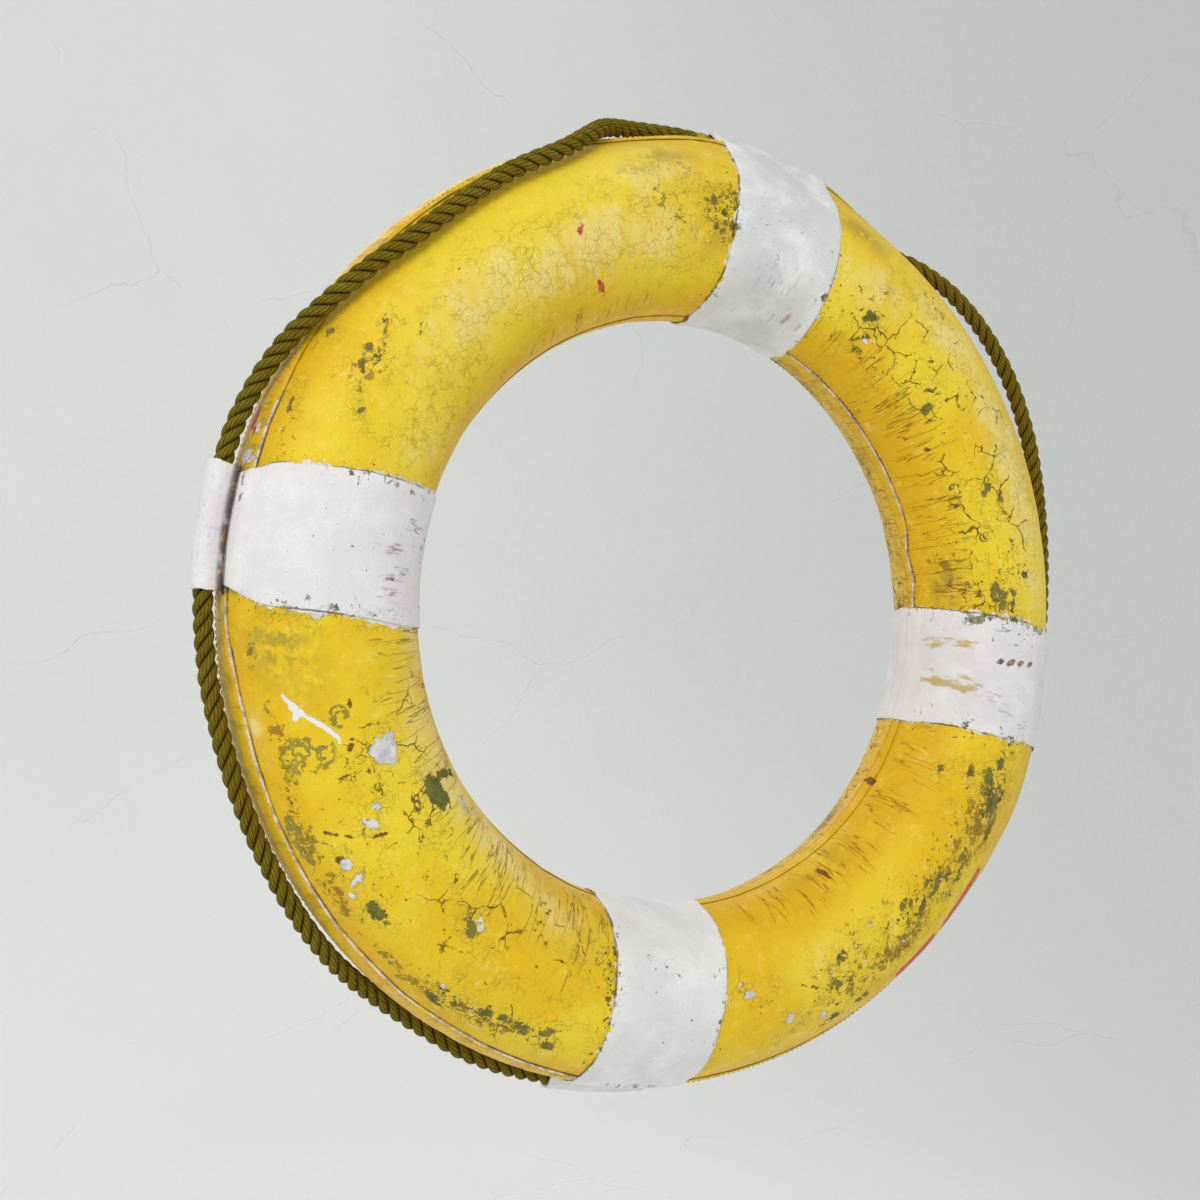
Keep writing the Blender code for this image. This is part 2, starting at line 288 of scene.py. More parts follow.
def ring_sheet(outer, inner):
    """A closed sheet between two grids that close round their rows and may have different columns."""
    rows, columns = outer.shape[:2]
    inner_columns = inner.shape[1]
    start = rows * columns
    i = np.arange(rows)
    next_i = (i + 1) % rows
    rims = []
    for out_j, in_j, flip in ((0, 0, True), (columns - 1, inner_columns - 1, False)):
        rim = np.stack([i * columns + out_j, next_i * columns + out_j, start + next_i * inner_columns + in_j,
            start + i * inner_columns + in_j], axis=-1)
        rims.append(rim[:, ::-1] if flip else rim)
    faces = np.concatenate([grid_faces(rows, columns), grid_faces(rows, inner_columns, start, flip=True),
        *rims])
    return np.concatenate([outer.reshape(-1, 3), inner.reshape(-1, 3)]), faces


def open_sheet(outer, inner):
    """A closed sheet between two open grids of the same size."""
    rows, columns = outer.shape[:2]
    start = rows * columns
    faces = [grid_faces(rows, columns, joined=False),
        grid_faces(rows, columns, start, joined=False, flip=True)]
    border = np.concatenate([np.arange(columns), np.arange(1, rows) * columns + columns - 1,
        (rows - 1) * columns + np.arange(columns - 2, -1, -1), np.arange(rows - 2, 0, -1) * columns])
    after = np.roll(border, -1)
    faces.append(np.stack([border, after, after + start, border + start], axis=-1))
    return np.concatenate([outer.reshape(-1, 3), inner.reshape(-1, 3)]), np.concatenate(faces)


def tube_faces(rows, sides):
    """Quads along a tube of rows rings with sides points each."""
    i, j = np.arange(rows - 1)[:, None], np.arange(sides)[None, :]
    after = (j + 1) % sides
    corners = [i * sides + j, i * sides + after, (i + 1) * sides + after, (i + 1) * sides + j]
    return np.stack(corners, axis=-1).reshape(-1, 4)


def tube_ends(first, rows, sides):
    """The two end faces of a tube whose points start at first."""
    last = first + (rows - 1) * sides
    return [list(range(first, first + sides))[::-1], list(range(last, last + sides))]


def facing_out(obj):
    """Turns every face outwards."""
    bm = bmesh.new()
    bm.from_mesh(obj.data)
    bmesh.ops.recalc_face_normals(bm, faces=bm.faces)
    bm.to_mesh(obj.data)
    bm.free()
    return obj


# --- materials -----------------------------------------------------------------


class Nodes:
    """A material's node tree, written as sums."""

    def __init__(self, name):
        self.material = bpy.data.materials.new(name)
        self.material.use_nodes = True
        self.tree = self.material.node_tree
        self.tree.nodes.clear()

    def add(self, kind, **settings):
        node = self.tree.nodes.new(kind)
        for key, value in settings.items():
            setattr(node, key, value)
        return node

    def put(self, socket, value):
        if isinstance(value, bpy.types.NodeSocket):
            self.tree.links.new(value, socket)
        elif value is not None:
            socket.default_value = value

    def colour(self, value):
        return (*value, 1.0) if isinstance(value, tuple) and len(value) == 3 else value

    def math(self, operation, a, b=None, c=None, clamp=False):
        node = self.add("ShaderNodeMath", operation=operation, use_clamp=clamp)
        for socket, value in zip(node.inputs, (a, b, c)):
            self.put(socket, value)
        return node.outputs[0]

    def plus(self, a, b):
        return self.math("ADD", a, b)

    def minus(self, a, b):
        return self.math("SUBTRACT", a, b)

    def times(self, a, b, clamp=False):
        return self.math("MULTIPLY", a, b, clamp=clamp)

    def most(self, *values):
        made = values[0]
        for value in values[1:]:
            made = self.math("MAXIMUM", made, value)
        return made

    def ramp(self, x, low, high, start=0.0, end=1.0):
        """Eased from start at low to end at high."""
        node = self.add("ShaderNodeMapRange", interpolation_type="SMOOTHSTEP")
        self.put(node.inputs["Value"], x)
        for key, value in (("From Min", low), ("From Max", high), ("To Min", start), ("To Max", end)):
            self.put(node.inputs[key], value)
        return node.outputs["Result"]

    def mix(self, share, a, b):
        node = self.add("ShaderNodeMix", data_type="RGBA")
        self.put(node.inputs["Factor"], share)
        self.put(node.inputs[6], self.colour(a))
        self.put(node.inputs[7], self.colour(b))
        return node.outputs[2]

    def tones(self, x, low, high, a, b):
        """Colour a where x is low, eased to colour b where it is high."""
        return self.mix(self.ramp(x, low, high), a, b)

    def field(self, name):
        return self.add("ShaderNodeAttribute", attribute_name=name).outputs["Fac"]

    def field_vector(self, name):
        return self.add("ShaderNodeAttribute", attribute_name=name).outputs["Vector"]

    def place(self):
        return self.add("ShaderNodeTexCoord").outputs["Object"]

    def scaled(self, vector, x, y, z):
        node = self.add("ShaderNodeVectorMath", operation="MULTIPLY")
        self.put(node.inputs[0], vector)
        node.inputs[1].default_value = (x, y, z)
        return node.outputs[0]

    def pushed(self, vector, size, amount):
        """The place, moved about by noise of this size by up to half the amount."""
        wobble = self.add("ShaderNodeTexNoise")
        self.put(wobble.inputs["Vector"], vector)
        wobble.inputs["Scale"].default_value = 1 / size
        wobble.inputs["Detail"].default_value = 2
        centred = self.add("ShaderNodeVectorMath", operation="SUBTRACT")
        self.put(centred.inputs[0], wobble.outputs["Color"])
        centred.inputs[1].default_value = (0.5, 0.5, 0.5)
        small = self.add("ShaderNodeVectorMath", operation="SCALE")
        self.put(small.inputs[0], centred.outputs[0])
        small.inputs["Scale"].default_value = amount
        moved = self.add("ShaderNodeVectorMath", operation="ADD")
        self.put(moved.inputs[0], vector)
        self.put(moved.inputs[1], small.outputs[0])
        return moved.outputs[0]

    def noise(self, vector, size, detail=3, rough=0.55):
        node = self.add("ShaderNodeTexNoise")
        self.put(node.inputs["Vector"], vector)
        node.inputs["Scale"].default_value = 1 / size
        node.inputs["Detail"].default_value = detail
        node.inputs["Roughness"].default_value = rough
        return node.outputs["Fac"]

    def cells(self, vector, size, feature="DISTANCE_TO_EDGE", output="Distance"):
        node = self.add("ShaderNodeTexVoronoi", feature=feature)
        self.put(node.inputs["Vector"], vector)
        node.inputs["Scale"].default_value = 1 / size
        return node.outputs[output]

    def part(self, colour, index=0):
        node = self.add("ShaderNodeSeparateColor")
        self.put(node.inputs[0], colour)
        return node.outputs[index]

    def relief(self, height, depth, normal=None, strength=1.0):
        node = self.add("ShaderNodeBump")
        self.put(node.inputs["Height"], height)
        node.inputs["Distance"].default_value = depth
        node.inputs["Strength"].default_value = strength
        self.put(node.inputs["Normal"], normal)
        return node.outputs[0]

    def finish(self, colour, roughness, normal, specular):
        shader = self.add("ShaderNodeBsdfPrincipled")
        self.put(shader.inputs["Base Color"], self.colour(colour))
        self.put(shader.inputs["Roughness"], roughness)
        self.put(shader.inputs["Normal"], normal)
        shader.inputs["Specular IOR Level"].default_value = specular
        out = self.add("ShaderNodeOutputMaterial")
        self.tree.links.new(shader.outputs[0], out.inputs["Surface"])
        return self.material


LEMON = (0.880, 0.655, 0.024)
GOLD = (0.810, 0.520, 0.005)
AMBER = (0.750, 0.440, 0.003)
STRAW = (0.860, 0.720, 0.250)
OLIVE = (0.112, 0.112, 0.020)
PRIMER = (0.780, 0.765, 0.790)
WHITE = (0.850, 0.842, 0.828)
LILAC = (0.800, 0.735, 0.790)
GREY = (0.640, 0.650, 0.650)
UMBER = (0.150, 0.075, 0.020)
SOOT = (0.060, 0.048, 0.035)
RED = (0.560, 0.028, 0.020)


class Paint(Nodes):
    """The noises that the paint's layers share. Each layer adds its own masks for the ones after it."""

    def __init__(self, name):
        super().__init__(name)
        self.here = self.place()
        self.flow = self.field_vector("flow")
        self.bent = self.pushed(self.pushed(self.here, 0.012, 0.007), 0.0030, 0.0013)
        self.broad = self.noise(self.here, 0.110, 3)
        self.patches = self.noise(self.pushed(self.here, 0.05, 0.03), 0.036, 5, 0.62)
        self.mottle = self.noise(self.here, 0.011, 5, 0.68)
        self.grain = self.noise(self.here, 0.0020, 3, 0.6)
        self.streaks = self.noise(self.scaled(self.flow, 1, 1, 0.22), 0.006, 4, 0.6)
        self.brush = self.noise(self.scaled(self.flow, 0.12, 0.12, 1), 0.0028, 3, 0.6)


def yellow_layer(n):
    """Lemon on the face, golden in patches, amber on the shoulders and straw where it is worn thin."""
    yellow = n.tones(n.broad, 0.38, 0.62, GOLD, LEMON)
    amber = n.times(n.field("amber"), n.ramp(n.patches, 0.25, 0.6, 0.45, 1.0))
    yellow = n.mix(amber, yellow, AMBER)
    thin = n.plus(n.times(n.patches, 0.6), n.times(n.streaks, 0.4))
    worn = n.ramp(n.plus(thin, n.times(n.field("pale"), 0.22)), 0.55, 0.73, 0.0, 0.75)
    yellow = n.mix(n.times(n.field("pale"), 0.32), yellow, STRAW)
    yellow = n.mix(n.times(worn, n.ramp(n.field("pale"), 0.05, 0.5)), yellow, STRAW)
    yellow = n.mix(n.ramp(n.mottle, 0.54, 0.76, 0.0, 0.42), yellow, (0.600, 0.390, 0.012))
    yellow = n.mix(n.ramp(n.mottle, 0.28, 0.46, 0.40, 0.0), yellow, (0.900, 0.740, 0.160))
    yellow = n.mix(n.ramp(n.grain, 0.56, 0.76, 0.0, 0.26), yellow, (0.420, 0.300, 0.020))
    return yellow


def crack(n):
    """Fine cells, large cells with dark knots, and cracks that run across the ring."""
    loss = n.most(n.field("green"), n.field("primer"))
    by_loss = n.ramp(loss, -0.016, -0.001, 0.0, 0.85)
    crazed = n.most(n.field("crazing"), by_loss)
    breaks = n.noise(n.here, 0.020, 4, 0.62)
    shown = n.times(n.ramp(n.plus(breaks, n.times(crazed, 0.20)), 0.46, 0.70), n.ramp(crazed, 0.05, 0.35))
    kinked = n.pushed(n.bent, 0.0045, 0.0036)
    web = n.times(n.ramp(n.cells(kinked, 0.0085), 0.015, 0.060, 1.0, 0.0),
        n.ramp(n.noise(n.here, 0.0075, 3), 0.42, 0.54))
    fine_web = n.ramp(n.cells(n.bent, 0.0043), 0.02, 0.090, 0.60, 0.0)
    n.small = n.times(n.most(web, n.times(fine_web, n.ramp(breaks, 0.40, 0.60))), shown)
    n.brittle = n.ramp(n.field("chipping"), 0.30, 0.80)
    n.small = n.times(n.small, n.ramp(n.brittle, 0.0, 1.0, 0.50, 0.75))
    celled = n.field("celled")
    wide_breaks = n.noise(n.pushed(n.here, 0.02, 0.01), 0.026, 4, 0.62)
    large_cells = n.cells(n.pushed(n.pushed(n.here, 0.014, 0.013), 0.0035, 0.0018), 0.025)
    width = n.ramp(wide_breaks, 0.40, 0.68, 0.009, 0.030)
    present = n.times(n.ramp(n.plus(wide_breaks, n.times(celled, 0.20)), 0.58, 0.65),
        n.ramp(celled, 0.05, 0.3))
    large = n.times(n.ramp(large_cells, n.times(width, 0.35), width, 0.95, 0.0), present)
    knots = n.times(n.ramp(large_cells, 0.045, 0.085, 1.0, 0.0),
        n.ramp(n.noise(n.here, 0.0055, 3, 0.6), 0.615, 0.635))
    knots = n.times(knots, n.ramp(celled, 0.2, 0.6))
    ribbed = n.field("radial")
    n.ribs = n.noise(n.pushed(n.scaled(n.flow, 1, 1, 0.12), 0.010, 0.0038), 0.0090, 3, 0.55)
    rib_breaks = n.noise(n.scaled(n.flow, 1, 1, 0.30), 0.012, 4, 0.62)
    n.rib_shown = n.times(n.ramp(n.plus(rib_breaks, n.times(ribbed, 0.22)), 0.54, 0.66),
        n.ramp(ribbed, 0.05, 0.3))
    rib_lines = n.ramp(n.math("ABSOLUTE", n.minus(n.ribs, 0.5)), 0.004, 0.019, 0.80, 0.0)
    n.radial = n.times(rib_lines, n.rib_shown)
    n.cracks = n.most(large, knots)
    n.crack_colour = n.tones(n.patches, 0.40, 0.60, (0.140, 0.088, 0.012), (0.200, 0.135, 0.016))
    n.crack_colour = n.tones(n.field("amber"), 0.25, 0.60, n.crack_colour, (0.230, 0.072, 0.010))


def chip(n):
    """Chips in the shapes that the cracks leave, dark rims of dirt and painted shade round them, and what
    stains the paint.
    """
    flakes = n.cells(n.bent, 0.0056, "F1", "Color")
    luck, other = n.part(flakes, 0), n.part(flakes, 1)
    crumble = n.times(n.minus(n.noise(n.here, 0.0055, 5, 0.70), 0.5), 0.011)
    shift = n.plus(crumble, n.times(n.minus(luck, 0.56), 0.0042))
    lost = n.plus(n.field("green"), shift)
    bare = n.plus(n.field("primer"), n.times(shift, 0.9))
    n.scraped = n.ramp(n.plus(n.field("scrape"), n.times(crumble, 0.35)), -0.0002, 0.0003)
    clusters = n.plus(n.noise(n.bent, 0.010, 5, 0.70), n.times(n.minus(luck, 0.5), 0.08))
    clusters = n.plus(clusters, n.times(n.field("chipping"), 0.22))
    specks = n.plus(n.noise(n.here, 0.0034, 3, 0.6), n.times(n.field("chipping"), 0.20))
    loose = n.most(n.ramp(clusters, 0.765, 0.780), n.ramp(specks, 0.750, 0.765))
    n.green = n.most(n.ramp(lost, -0.0002, 0.0002), loose)
    n.primer = n.most(n.ramp(bare, -0.0002, 0.0002), n.times(loose, n.ramp(other, 0.93, 0.94)))
    # A dark rim round each chip and speck: dirt caught at the paint's edge, with painted shade along it.
    n.rim = n.most(n.ramp(lost, -0.0013, -0.0002), n.ramp(bare, -0.0010, -0.0002),
        n.ramp(clusters, 0.748, 0.765))
    n.grime = n.plus(n.noise(n.bent, 0.0080, 5, 0.72), n.times(n.field("grime"), 0.20))
    n.grime = n.times(n.ramp(n.grime, 0.645, 0.705), n.ramp(n.field("grime"), 0.05, 0.4))
    veins = n.math("ABSOLUTE", n.minus(n.noise(n.pushed(n.here, 0.012, 0.008), 0.015, 3, 0.6), 0.5))
    n.stain = n.ramp(n.plus(n.field("stain"), n.times(n.minus(n.patches, 0.5), 0.6)), 0.42, 0.56)
    n.stain = n.times(n.stain, n.ramp(veins, 0.028, 0.046, 0.85, 0.0))
    n.shade = n.times(n.field("shade"), n.ramp(n.plus(n.times(n.patches, 0.5), n.times(n.mottle, 0.5)), 0.44,
        0.54), clamp=True)
    n.red = n.ramp(n.plus(n.field("red"), n.times(crumble, 0.8)), -0.0003, 0.0003)
    n.brown = n.ramp(n.plus(n.field("brown"), n.times(crumble, 0.5)), -0.0004, 0.0004)


def worn_down(n, yellow):
    """The yellow with its stains and cracks, and the olive and primer under it."""
    colour = n.mix(n.times(n.shade, 0.72), yellow, (0.330, 0.280, 0.042))
    colour = n.mix(n.times(n.grime, 0.80), colour,
        n.tones(n.patches, 0.42, 0.58, (0.270, 0.125, 0.008), (0.170, 0.150, 0.020)))
    colour = n.mix(n.stain, colour, n.tones(n.mottle, 0.4, 0.6, (0.200, 0.175, 0.030), (0.330, 0.290, 0.050)))
    colour = n.mix(n.small, colour, n.mix(n.brittle, (0.330, 0.250, 0.032), (0.150, 0.115, 0.020)))
    furrows = n.tones(n.field("amber"), 0.25, 0.60, (0.250, 0.165, 0.018), (0.300, 0.125, 0.012))
    colour = n.mix(n.radial, colour, furrows)
    colour = n.mix(n.cracks, colour, n.crack_colour)
    # Dirt and painted shade round the chips.
    colour = n.mix(n.times(n.rim, 0.55), colour, (0.210, 0.130, 0.016))
    colour = n.mix(n.red, colour, n.tones(n.mottle, 0.46, 0.66, RED, (0.560, 0.200, 0.150)))
    colour = n.mix(n.brown, colour, n.tones(n.grain, 0.40, 0.60, UMBER, (0.260, 0.130, 0.030)))
    colour = n.mix(n.green, colour, n.tones(n.mottle, 0.35, 0.65, OLIVE, (0.215, 0.200, 0.045)))
    colour = n.mix(n.primer, colour, n.tones(n.mottle, 0.40, 0.65, PRIMER, (0.560, 0.560, 0.575)))
    return n.mix(n.scraped, colour, (0.840, 0.835, 0.850))


def white_layer(n):
    """A ragged border with splashes over it, then scuffs, specks and smears on the white itself."""
    n.border = n.field("white")
    torn = n.field("torn")
    ragged = n.times(n.minus(n.noise(n.here, 0.0070, 5, 0.68), 0.5), n.plus(n.times(torn, 0.022), 0.008))
    painted_white = n.plus(n.plus(n.border, ragged), n.times(n.field("splash"), 0.0022))
    splashes = n.times(n.ramp(n.border, -0.014, -0.001, 0.0, 0.22), n.field("splash"))
    splashes = n.ramp(n.plus(n.noise(n.here, 0.0046, 4, 0.66), splashes), 0.745, 0.755)
    n.white = n.most(n.ramp(painted_white, -0.0002, 0.0002), splashes)
    dirt = n.noise(n.here, 0.026, 5, 0.68)
    clean = n.mix(n.times(n.field("pink"), n.ramp(dirt, 0.35, 0.60)), WHITE, LILAC)
    clean = n.mix(n.times(n.field("drab"), n.ramp(n.patches, 0.30, 0.62)), clean, GREY)
    clean = n.mix(n.ramp(n.mottle, 0.58, 0.78, 0.0, 0.32), clean, (0.600, 0.570, 0.540))
    rubbed = n.noise(n.scaled(n.flow, 1, 1, 0.25), 0.0042, 4, 0.65)
    scuffed = n.field("scuffed")
    scuffs = n.ramp(n.plus(rubbed, n.times(scuffed, 0.16)), 0.60, 0.72)
    scuffs = n.times(scuffs, n.ramp(scuffed, 0.05, 0.5))
    clean = n.mix(n.times(scuffs, 0.85), clean,
        n.tones(n.patches, 0.45, 0.55, (0.250, 0.185, 0.260), (0.480, 0.300, 0.400)))
    speckled = n.plus(n.noise(n.here, 0.0044, 3, 0.6), n.times(n.field("speckled"), 0.10))
    flecks = n.ramp(speckled, 0.735, 0.750)
    clean = n.mix(flecks, clean, n.tones(n.grain, 0.4, 0.6, (0.130, 0.120, 0.055), (0.330, 0.290, 0.190)))
    smears = n.plus(n.noise(n.scaled(n.flow, 1, 1, 0.35), 0.009, 4, 0.62), n.times(n.field("ochre"), 0.20))
    smears = n.times(n.ramp(smears, 0.60, 0.74, 0.0, 0.9), n.ramp(n.field("ochre"), 0.05, 0.4))
    clean = n.mix(smears, clean, (0.560, 0.380, 0.120))
    clean = n.mix(n.times(n.brown, 0.9), clean,
        n.tones(n.grain, 0.4, 0.6, (0.060, 0.035, 0.010), (0.420, 0.270, 0.050)))
    clean = n.mix(n.times(n.red, 0.8), clean, (0.360, 0.110, 0.110))
    n.gone = n.plus(n.noise(n.bent, 0.0085, 5, 0.70), n.times(n.ramp(n.border, 0.018, 0.0, 0.0, 0.20), torn))
    n.gone = n.times(n.ramp(n.gone, 0.665, 0.680), n.ramp(torn, 0.1, 0.3))
    return n.mix(n.gone, clean, n.tones(n.mottle, 0.4, 0.6, OLIVE, (0.420, 0.400, 0.300)))


def banded(n, colour):
    """White over the yellow, with a dark line of dirt and painted shade along parts of its border, and
    painted shade mixed with rusty brown beside the sleeves.
    """
    clean = white_layer(n)
    colour = n.mix(n.white, colour, clean)
    # A dark line along the cloth's edge where the band meets the cover: a crack with dirt in it, and painted
    # shade.
    edge = n.plus(n.plus(n.border, 0.0003), n.times(n.minus(n.noise(n.here, 0.005, 3), 0.5), 0.0030))
    line = n.ramp(n.math("ABSOLUTE", edge), 0.0003, 0.0009, 1.0, 0.0)
    line = n.times(line, n.ramp(n.noise(n.flow, 0.026, 3), 0.45, 0.56))
    colour = n.mix(n.times(line, 0.70), colour, n.tones(n.mottle, 0.4, 0.6, UMBER, SOOT))
    # Painted shade in the crease under each sleeve's front edge, mixed with rusty brown.
    crease_shade = n.times(n.field("crease_shade"), n.ramp(n.noise(n.here, 0.010, 4, 0.65), 0.30, 0.50, 0.55, 1.0))
    rust_and_shade = n.tones(n.noise(n.here, 0.006, 3), 0.60, 0.66, (0.075, 0.045, 0.035), (0.420, 0.190, 0.030))
    return n.mix(crease_shade, colour, rust_and_shade)


def seamed(n, colour, tape):
    """Dirt beside a tape's edge on the cover, flaking primer along the edge on the tape itself."""
    seam = n.field("seam")
    if tape:
        yellow_here = n.times(n.minus(1.0, n.white), n.ramp(seam, 0.048, 0.058, 1.0, 0.0))
        n.flaked = n.plus(seam, n.times(n.minus(n.noise(n.here, 0.005, 4, 0.65), 0.5), 0.0030))
        n.flaked = n.times(n.ramp(n.flaked, 0.0012, 0.0015, 1.0, 0.0),
            n.ramp(n.noise(n.here, 0.022, 3), 0.36, 0.46))
        dark = n.times(n.ramp(n.streaks, 0.50, 0.68, 0.0, 0.60), yellow_here)
        colour = n.mix(dark, colour, (0.340, 0.215, 0.030))
        light = n.times(n.ramp(n.streaks, 0.30, 0.44, 0.32, 0.0), yellow_here)
        colour = n.mix(light, colour, (0.760, 0.560, 0.180))
        colour = n.mix(n.times(n.flaked, 0.9), colour,
            n.tones(n.mottle, 0.42, 0.60, (0.760, 0.745, 0.735), (0.420, 0.330, 0.280)))
    else:
        dirty = n.times(n.ramp(seam, 0.0005, 0.0024, 1.0, 0.0),
            n.ramp(n.noise(n.here, 0.018, 4, 0.6), 0.40, 0.58))
        colour = n.mix(n.times(dirty, 0.85), colour,
            n.tones(n.mottle, 0.4, 0.6, (0.190, 0.085, 0.014), (0.110, 0.035, 0.020)))
    return colour


def paint_surface(n, tape):
    """Roughness and relief: paint layers, cracks, brush marks and the weave under them."""
    weave = n.add("ShaderNodeTexWave", wave_type="BANDS", bands_direction="DIAGONAL", wave_profile="SIN")
    n.put(weave.inputs["Vector"], n.flow)
    weave.inputs["Scale"].default_value = 320
    weave.inputs["Distortion"].default_value = 1.2
    bared = n.most(n.green, n.times(n.most(n.primer, n.scraped), 0.8))
    height = n.plus(n.times(n.white, 0.20), n.times(n.minus(1.0, bared), 0.45))
    open_cracks = n.times(n.most(n.cracks, n.small, n.radial), n.minus(1.0, n.white))
    height = n.minus(height, n.times(open_cracks, 0.45))
    height = n.plus(height, n.times(n.times(n.times(n.ribs, n.rib_shown), n.minus(1.0, n.white)), 0.8))
    height = n.plus(height, n.times(n.brush, 0.22))
    height = n.plus(height, n.times(n.grain, 0.26))
    height = n.plus(height, n.times(weave.outputs["Fac"], 0.06))
    height = n.plus(height, n.times(n.mottle, 0.55))
    holes = [n.brown, n.times(n.gone, 0.5)] + ([n.flaked] if tape else [])
    height = n.minus(height, n.times(n.most(*holes), 0.45))
    normal = n.relief(height, 0.0010, strength=0.85)
    rough = n.ramp(n.mottle, 0.30, 0.70, 0.36, 0.54)
    rough = n.most(rough, n.times(n.most(bared, n.cracks, n.brown), 0.78))
    return n.most(rough, n.times(n.white, 0.58)), normal


def painted(name, tape=False):
    """Old paint on canvas: yellow over olive over white primer, with white bands painted over it."""
    n = Paint(name)
    yellow = yellow_layer(n)
    crack(n)
    chip(n)
    colour = seamed(n, banded(n, worn_down(n, yellow)), tape)
    roughness, normal = paint_surface(n, tape)
    return n.finish(colour, roughness, normal, specular=0.24)


def rope_material():
    """Old three-strand line: yarns that run along the rope, with painted shade down between the strands and
    in the furrows between the yarns.
    """
    n = Nodes("old_line")
    flow = n.field_vector("flow")
    yarn = n.add("ShaderNodeUVMap", uv_map="yarn").outputs[0]
    split = n.add("ShaderNodeSeparateXYZ")
    n.put(split.inputs[0], yarn)
    turn, along = split.outputs[0], split.outputs[1]
    wave = n.math("SINE", n.times(turn, 2 * math.pi))
    hairs = n.add("ShaderNodeTexNoise")
    combined = n.add("ShaderNodeCombineXYZ")
    n.put(combined.inputs[0], n.times(turn, 1.3))
    n.put(combined.inputs[1], n.times(along, 55))
    n.put(hairs.inputs["Vector"], combined.outputs[0])
    hairs.inputs["Scale"].default_value = 1.6
    hairs.inputs["Detail"].default_value = 5
    hairs.inputs["Roughness"].default_value = 0.7
    hair = hairs.outputs["Fac"]
    fade = n.noise(flow, 0.045, 3)
    blotch = n.noise(flow, 0.009, 4, 0.6)
    colour = n.tones(fade, 0.38, 0.62, (0.178, 0.126, 0.005), (0.205, 0.150, 0.008))
    colour = n.mix(n.ramp(hair, 0.44, 0.68, 0.0, 0.70), colour, (0.310, 0.232, 0.030))
    colour = n.mix(n.ramp(hair, 0.28, 0.44, 0.75, 0.0), colour, (0.045, 0.030, 0.004))
    # Painted shade in the furrows between the yarns.
    colour = n.mix(n.ramp(wave, -1.0, -0.30, 0.70, 0.0), colour, (0.040, 0.026, 0.004))
    # Painted shade on the side of each strand that faces the rope's axis, where the strands press together.
    colour = n.mix(n.ramp(n.field("depth"), 0.22, 0.72, 0.0, 0.95), colour, (0.016, 0.010, 0.002))
    colour = n.mix(n.ramp(blotch, 0.60, 0.74, 0.0, 0.55), colour, (0.070, 0.058, 0.016))
    spilt = n.plus(n.field("spilt"), n.times(n.minus(n.noise(flow, 0.004, 3), 0.5), 0.012))
    spilt = n.ramp(spilt, -0.0003, 0.0004)
    colour = n.mix(spilt, colour, n.tones(blotch, 0.45, 0.60, (0.520, 0.400, 0.040), (0.200, 0.160, 0.020)))
    height = n.plus(n.times(wave, 0.5), n.times(hair, 0.9))
    normal = n.relief(height, 0.00045, strength=0.9)
    return n.finish(colour, 0.9, normal, specular=0.06)


def cork_material():
    n = Nodes("aged_cork")
    here = n.place()
    grain = n.noise(here, 0.010, 6, 0.7)
    lenticels = n.ramp(n.cells(n.pushed(here, 0.01, 0.006), 0.009, "F1"), 0.10, 0.32, 1.0, 0.0)
    colour = n.tones(grain, 0.35, 0.65, (0.34, 0.205, 0.105), (0.52, 0.35, 0.195))
    colour = n.mix(n.times(lenticels, 0.8), colour, (0.09, 0.045, 0.022))
    height = n.minus(n.times(grain, 0.6), n.times(lenticels, 0.8))
    return n.finish(colour, 0.88, n.relief(height, 0.001), specular=0.25)


def dowel_material():
    n = Nodes("dowel_beech")
    here = n.place()
    grain = n.noise(n.scaled(here, 1, 6, 1), 0.012, 5, 0.65)
    pores = n.ramp(n.noise(n.scaled(here, 1, 9, 1), 0.004, 2), 0.60, 0.70)
    colour = n.tones(grain, 0.35, 0.65, (0.42, 0.26, 0.13), (0.60, 0.42, 0.24))
    colour = n.mix(n.times(pores, 0.6), colour, (0.20, 0.10, 0.05))
    return n.finish(colour, 0.62, n.relief(n.plus(grain, pores), 0.0004), specular=0.35)


def backdrop_material():
    """Pale plaster that glows a little, with painted shade that darkens it towards +X, away from the key
    light.
    """
    n = Nodes("pale_backdrop")
    here = n.place()
    clouds = n.noise(here, 0.9, 3)
    colour = n.tones(clouds, 0.3, 0.7, (0.735, 0.742, 0.722), (0.765, 0.770, 0.752))
    # Painted shade: darker towards +X, the side away from the key light.
    sides = n.add("ShaderNodeSeparateXYZ")
    n.put(sides.inputs[0], here)
    colour = n.tones(sides.outputs[0], 0.8, 3.8, colour, (0.520, 0.540, 0.535))
    wandering = n.pushed(n.pushed(here, 0.4, 0.25), 0.05, 0.03)
    hairlines = n.ramp(n.cells(wandering, 1.1), 0.0006, 0.0026, 0.30, 0.0)
    hairlines = n.times(hairlines, n.ramp(n.noise(here, 0.5, 3), 0.45, 0.58))
    colour = n.mix(hairlines, colour, (0.400, 0.390, 0.380))
    coarse = n.noise(n.pushed(here, 0.03, 0.02), 0.020, 5, 0.62)
    height = n.plus(n.times(coarse, 0.6), n.times(n.noise(here, 0.004, 3), 0.4))
    normal = n.relief(height, 0.0030, strength=0.6)
    made = n.finish(colour, 0.9, normal, specular=0.2)
    shader = next(node for node in n.tree.nodes if node.type == "BSDF_PRINCIPLED")
    shader.inputs["Emission Color"].default_value = (0.950, 0.960, 0.940, 1)
    shader.inputs["Emission Strength"].default_value = 0.15
    return made


# --- the camera, the light and the room ----------------------------------------


